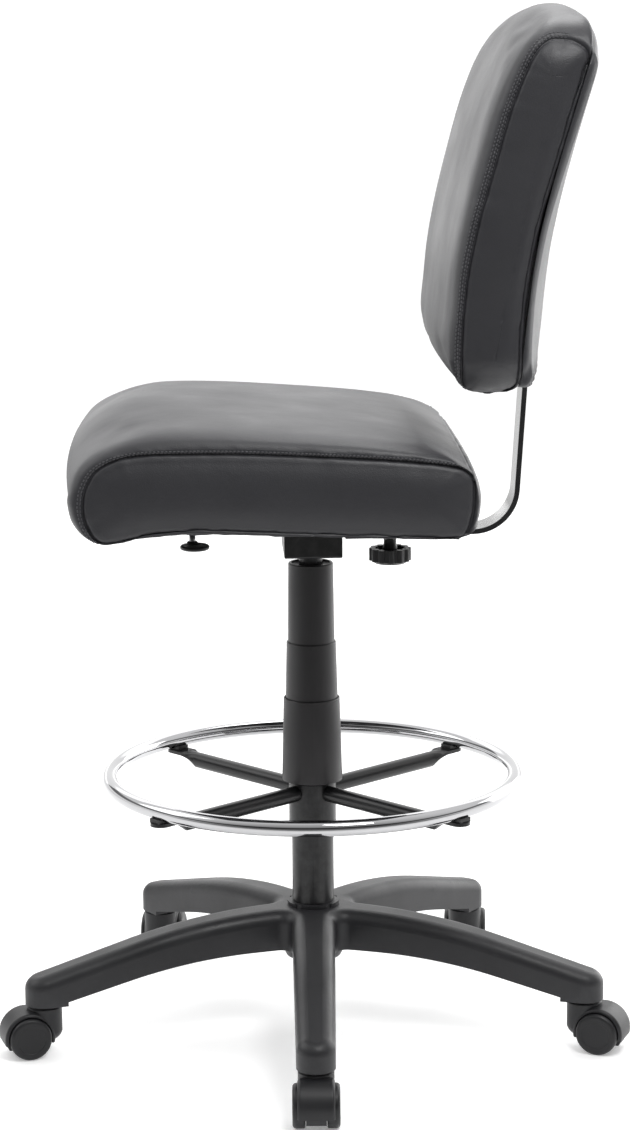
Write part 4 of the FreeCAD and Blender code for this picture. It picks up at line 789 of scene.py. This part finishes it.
def make_back(material, sewing):
    """The back's cover: a wrap-round panel and two side panels."""
    per = Padding.PER_SPAN
    back = Padding(BACK_EDGE, BACK_MIDDLE, BACK_HALF, crown=0.25, power=9.0, bulge=0.009,
                   spine=((196, 830), (262, 1140)))
    back.round_corners(BACK_HALF, BACK_LOW, BACK_HIGH, low_round=0.05, high_round=0.055)
    held = hold_seams(back, ())
    held[:, BACK_REAR[0] * per:BACK_REAR[1] * per + 1] = 1.0
    back.inflate("back", held)
    rows, _ = back.refine(list(back.seams), [])
    normals = back.normals()
    lift = sew_side_seams(back, rows, BACK_SEED)
    back.grid = back.grid + normals * lift[..., None]
    back.finish("back_upholstery", material, "back", "back_cushion")
    make_stitches("back", back, rows, normals, sewing, (0.0032, 0.0062, 0.0092), 0.5)


# ---------------------------------------------------------------- rear cover

PAD_FRONT = ((226.5, 806), (227.5, 850), (231, 900), (237.5, 943), (246, 983), (256, 1018),
             (270, 1063), (283.5, 1105), (297, 1149))
PAD_SIDE = 12          # how thick the cover is at its sides
PAD_MIDDLE = ((226.5, 798), (227.5, 850), (231, 900), (237.5, 943), (246, 983), (256, 1018),
              (270, 1063), (283.5, 1105), (298, 1151), (307, 1184), (316, 1194), (324, 1184),
              (321, 1155), (311, 1103), (300, 1058), (290, 1015), (283, 980), (276, 943),
              (270.5, 900), (265, 850), (258, 806), (250, 796), (237, 793))
PAD_HALF = 0.2
PAD_HIGH = 1.2
PAD_SPINE_GAP = 0.8
PAD_GATHER_TOP, PAD_GATHER_FADE = 0.828, 0.02


def moved_back(line, gap):
    """A side outline's line moved square to itself, towards the rear."""
    line = np.array(line, float)
    along = np.gradient(line, axis=0)
    along /= np.linalg.norm(along, axis=1, keepdims=True)
    return line + gap * np.column_stack([along[:, 1], -along[:, 0]])


def make_rear_pad(material):
    """The cover on the back's rear, gathered along its lower edge."""
    per = Padding.PER_SPAN
    edge = np.concatenate([PAD_FRONT, ((301, 1161), (304.5, 1166), (308.5, 1160)),
                           moved_back(PAD_FRONT, PAD_SIDE)[::-1], ((237, 799), (230, 798))])
    spine = moved_back(PAD_FRONT, PAD_SPINE_GAP)
    pad = Padding(edge, PAD_MIDDLE, PAD_HALF, crown=1.0, power=3.0, bulge=0.0105, spine=spine)
    pad.round_corners(PAD_HALF, BACK_LOW, PAD_HIGH, low_round=0.045, high_round=0.05)
    held = hold_seams(pad, ((0, len(PAD_FRONT) * per),))
    pad.inflate("pad", held, pressure=3.0, cap=0.002)
    rows, _ = pad.refine(list(pad.seams), [])
    normals = pad.normals()
    low = np.clip((PAD_GATHER_TOP - pad.grid[..., 2]) / PAD_GATHER_FADE, 0, 1)
    waves = np.sin(pad.grid[..., 0] * 2 * math.pi / 0.016) + 0.6 * np.sin(
        pad.grid[..., 0] * 2 * math.pi / 0.0273 + 1.0)
    pad.grid += normals * (0.002 * waves * low)[..., None]
    pad.finish("rear_cover", material, "back", "back_rear_pad")


# ---------------------------------------------------------------- dust cloth

CLOTH_PITCH = 0.006
CLOTH_BOW = 0.029
ARM_NUT_X = 0.198
ARM_NUT_Y = (-0.094, 0.006)
ARM_HOLE = 0.006
PLATE_GAP = 0.001
STAPLE_INSET, STAPLE_PITCH, STAPLE_CORNER = 0.005, 0.032, 0.02
STAPLE_REACH, STAPLE_WIRE = 0.0045, 0.0005


class ClothOutline:
    """The dust cloth's bowed ends, its hole for the mechanism's plate and the armrest holes."""

    def __init__(self):
        self.low, self.high = (np.array(corner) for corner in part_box("seat_dust_cover"))
        plate_low, plate_high = (np.array(corner)[:2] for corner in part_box("seat_plate"))
        self.plate_low, self.plate_high = plate_low - PLATE_GAP, plate_high + PLATE_GAP
        self.half = self.high[0]
        self.holes = [np.array((x, y)) for x in (-ARM_NUT_X, ARM_NUT_X) for y in ARM_NUT_Y]

    def ends(self, x):
        """The cloth's front and back edges at a place across the seat."""
        curve = CLOTH_BOW * (1 - (x / self.half) ** 2)
        return self.low[1] + CLOTH_BOW - curve, self.high[1] - CLOTH_BOW + curve

    def is_cloth(self, place):
        in_plate = np.all((place > self.plate_low) & (place < self.plate_high))
        return not (in_plate or any(np.hypot(*(place - hole)) < ARM_HOLE for hole in self.holes))

    def snap(self, point):
        """Draws a point inside a hole out to the hole's edge."""
        to_low, to_high = point - self.plate_low, self.plate_high - point
        inside = np.minimum(to_low, to_high)
        if inside.min() > 0:
            axis = int(np.argmin(inside))
            edge = self.plate_low if to_low[axis] < to_high[axis] else self.plate_high
            point[axis] = edge[axis]
        for hole in self.holes:
            away = point - hole
            gap = np.hypot(*away)
            if 1e-6 < gap < ARM_HOLE:
                point[:] = hole + away * ARM_HOLE / gap

    def grid(self):
        """The flat cloth's points and quads."""
        across = np.linspace(-self.half, self.half, int(round(2 * self.half / CLOTH_PITCH)) + 1)
        rows = int(round((self.high[1] - self.low[1]) / CLOTH_PITCH))
        points = []
        for x in across:
            front, back = self.ends(x)
            points += [[x, front + (back - front) * j / rows] for j in range(rows + 1)]
        points = np.array(points)
        quads = []
        for i in range(len(across) - 1):
            for j in range(rows):
                start = i * (rows + 1) + j
                quad = [start, start + rows + 1, start + rows + 2, start + 1]
                if self.is_cloth(points[quad].mean(0)):
                    quads.append(quad)
        for point in points:
            self.snap(point)
        return points, quads

    def to_edge(self, x, y):
        """How far a place is from the nearest held edge."""
        front, back = self.ends(x)
        past_plate = np.maximum(np.maximum(self.plate_low[0] - x, x - self.plate_high[0]),
                                np.maximum(self.plate_low[1] - y, y - self.plate_high[1]))
        return np.minimum.reduce([self.half - abs(x), y - front, back - y, past_plate])


def make_dust_cloth():
    """The cloth stapled under the seat: nearly flat, and a little slack between its edges."""
    outline = ClothOutline()
    points, quads = outline.grid()
    x, y = points.T
    slack = np.clip(outline.to_edge(x, y) / 0.03, 0, 1)
    ripple = np.sin(x * 88 + 2.0 * np.sin(y * 23)) + 0.6 * np.sin(y * 71 + 1.7 * np.sin(x * 31))
    height = outline.low[2] - 0.0002 - slack * (0.0006 + 0.0003 * ripple)
    mesh = bpy.data.meshes.new("dust_cloth")
    mesh.from_pydata(np.column_stack([points, height]).tolist(), [], [quad[::-1] for quad in quads])
    bm = bmesh.new()
    bm.from_mesh(mesh)
    bmesh.ops.delete(bm, geom=[v for v in bm.verts if not v.link_faces], context="VERTS")
    bm.to_mesh(mesh)
    bm.free()
    for face in mesh.polygons:
        face.use_smooth = True
    mesh.materials.append(unwoven("dust_cloth"))
    cloth = bpy.data.objects.new("dust_cloth", mesh)
    bpy.context.scene.collection.objects.link(cloth)
    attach(cloth, "seat")
    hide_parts("seat_dust_cover")
    make_staples(outline)


def make_staples(outline):
    """Wire staples round the cloth's edge, each one crown between two bent legs."""
    half = outline.half
    places = []
    for x in np.arange(-half + STAPLE_CORNER, half - STAPLE_CORNER + 0.001, STAPLE_PITCH):
        near, far = outline.ends(x)
        places += [(x, near + STAPLE_INSET, False), (x, far - STAPLE_INSET, False)]
    near, far = outline.ends(half)
    for y in np.arange(near + STAPLE_CORNER, far - STAPLE_CORNER + 0.001, STAPLE_PITCH):
        places += [(half - STAPLE_INSET, y, True), (STAPLE_INSET - half, y, True)]
    legs = ((1.0, 0.0006), (1.0, -0.0002), (0.9, -0.0006))
    path = [(-STAPLE_REACH * share, rise) for share, rise in legs]
    path += [(STAPLE_REACH * share, rise) for share, rise in legs[::-1]]
    verts, faces = [], []
    for x, y, turned in places:
        start = len(verts)
        for along, rise in path:
            for side, lift in ((-1, -0.5), (1, -0.5), (1, 0.5), (-1, 0.5)):
                across = side * STAPLE_WIRE
                at = (across, along) if turned else (along, across)
                level = outline.low[2] - 0.0004 + rise + lift * STAPLE_WIRE
                verts.append((x + at[0], y + at[1], level))
        for k in range(len(path) - 1):
            for corner in range(4):
                a, b = start + 4 * k + corner, start + 4 * k + (corner + 1) % 4
                faces.append((a, b, b + 4, a + 4))
        faces += [(start + 3, start + 2, start + 1, start),
                  tuple(start + 4 * (len(path) - 1) + k for k in range(4))]
    mesh = bpy.data.meshes.new("dust_cloth_staples")
    mesh.from_pydata(verts, [], faces)
    mesh.materials.append(steel("staple_wire", (0.6, 0.6, 0.6), 0.3))
    bm = bmesh.new()
    bm.from_mesh(mesh)
    bmesh.ops.recalc_face_normals(bm, faces=bm.faces)
    bm.to_mesh(mesh)
    bm.free()
    staples = bpy.data.objects.new("dust_cloth_staples", mesh)
    bpy.context.scene.collection.objects.link(staples)
    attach(staples, "seat")
    return staples


# ---------------------------------------------------------------- the scene

black_vinyl = vinyl("black_vinyl", (0.024, 0.024, 0.0275), (0.031, 0.031, 0.035))
seam_thread = thread("seam_thread", (0.05, 0.05, 0.054))

make_camera()
make_world()
make_floor()
for light in LIGHTS:
    soft_light(*light)
dress_frame()
make_seat(black_vinyl, seam_thread)
make_back(black_vinyl, seam_thread)
make_rear_pad(black_vinyl)
make_dust_cloth()
bpy.context.scene.view_settings.view_transform = "Standard"
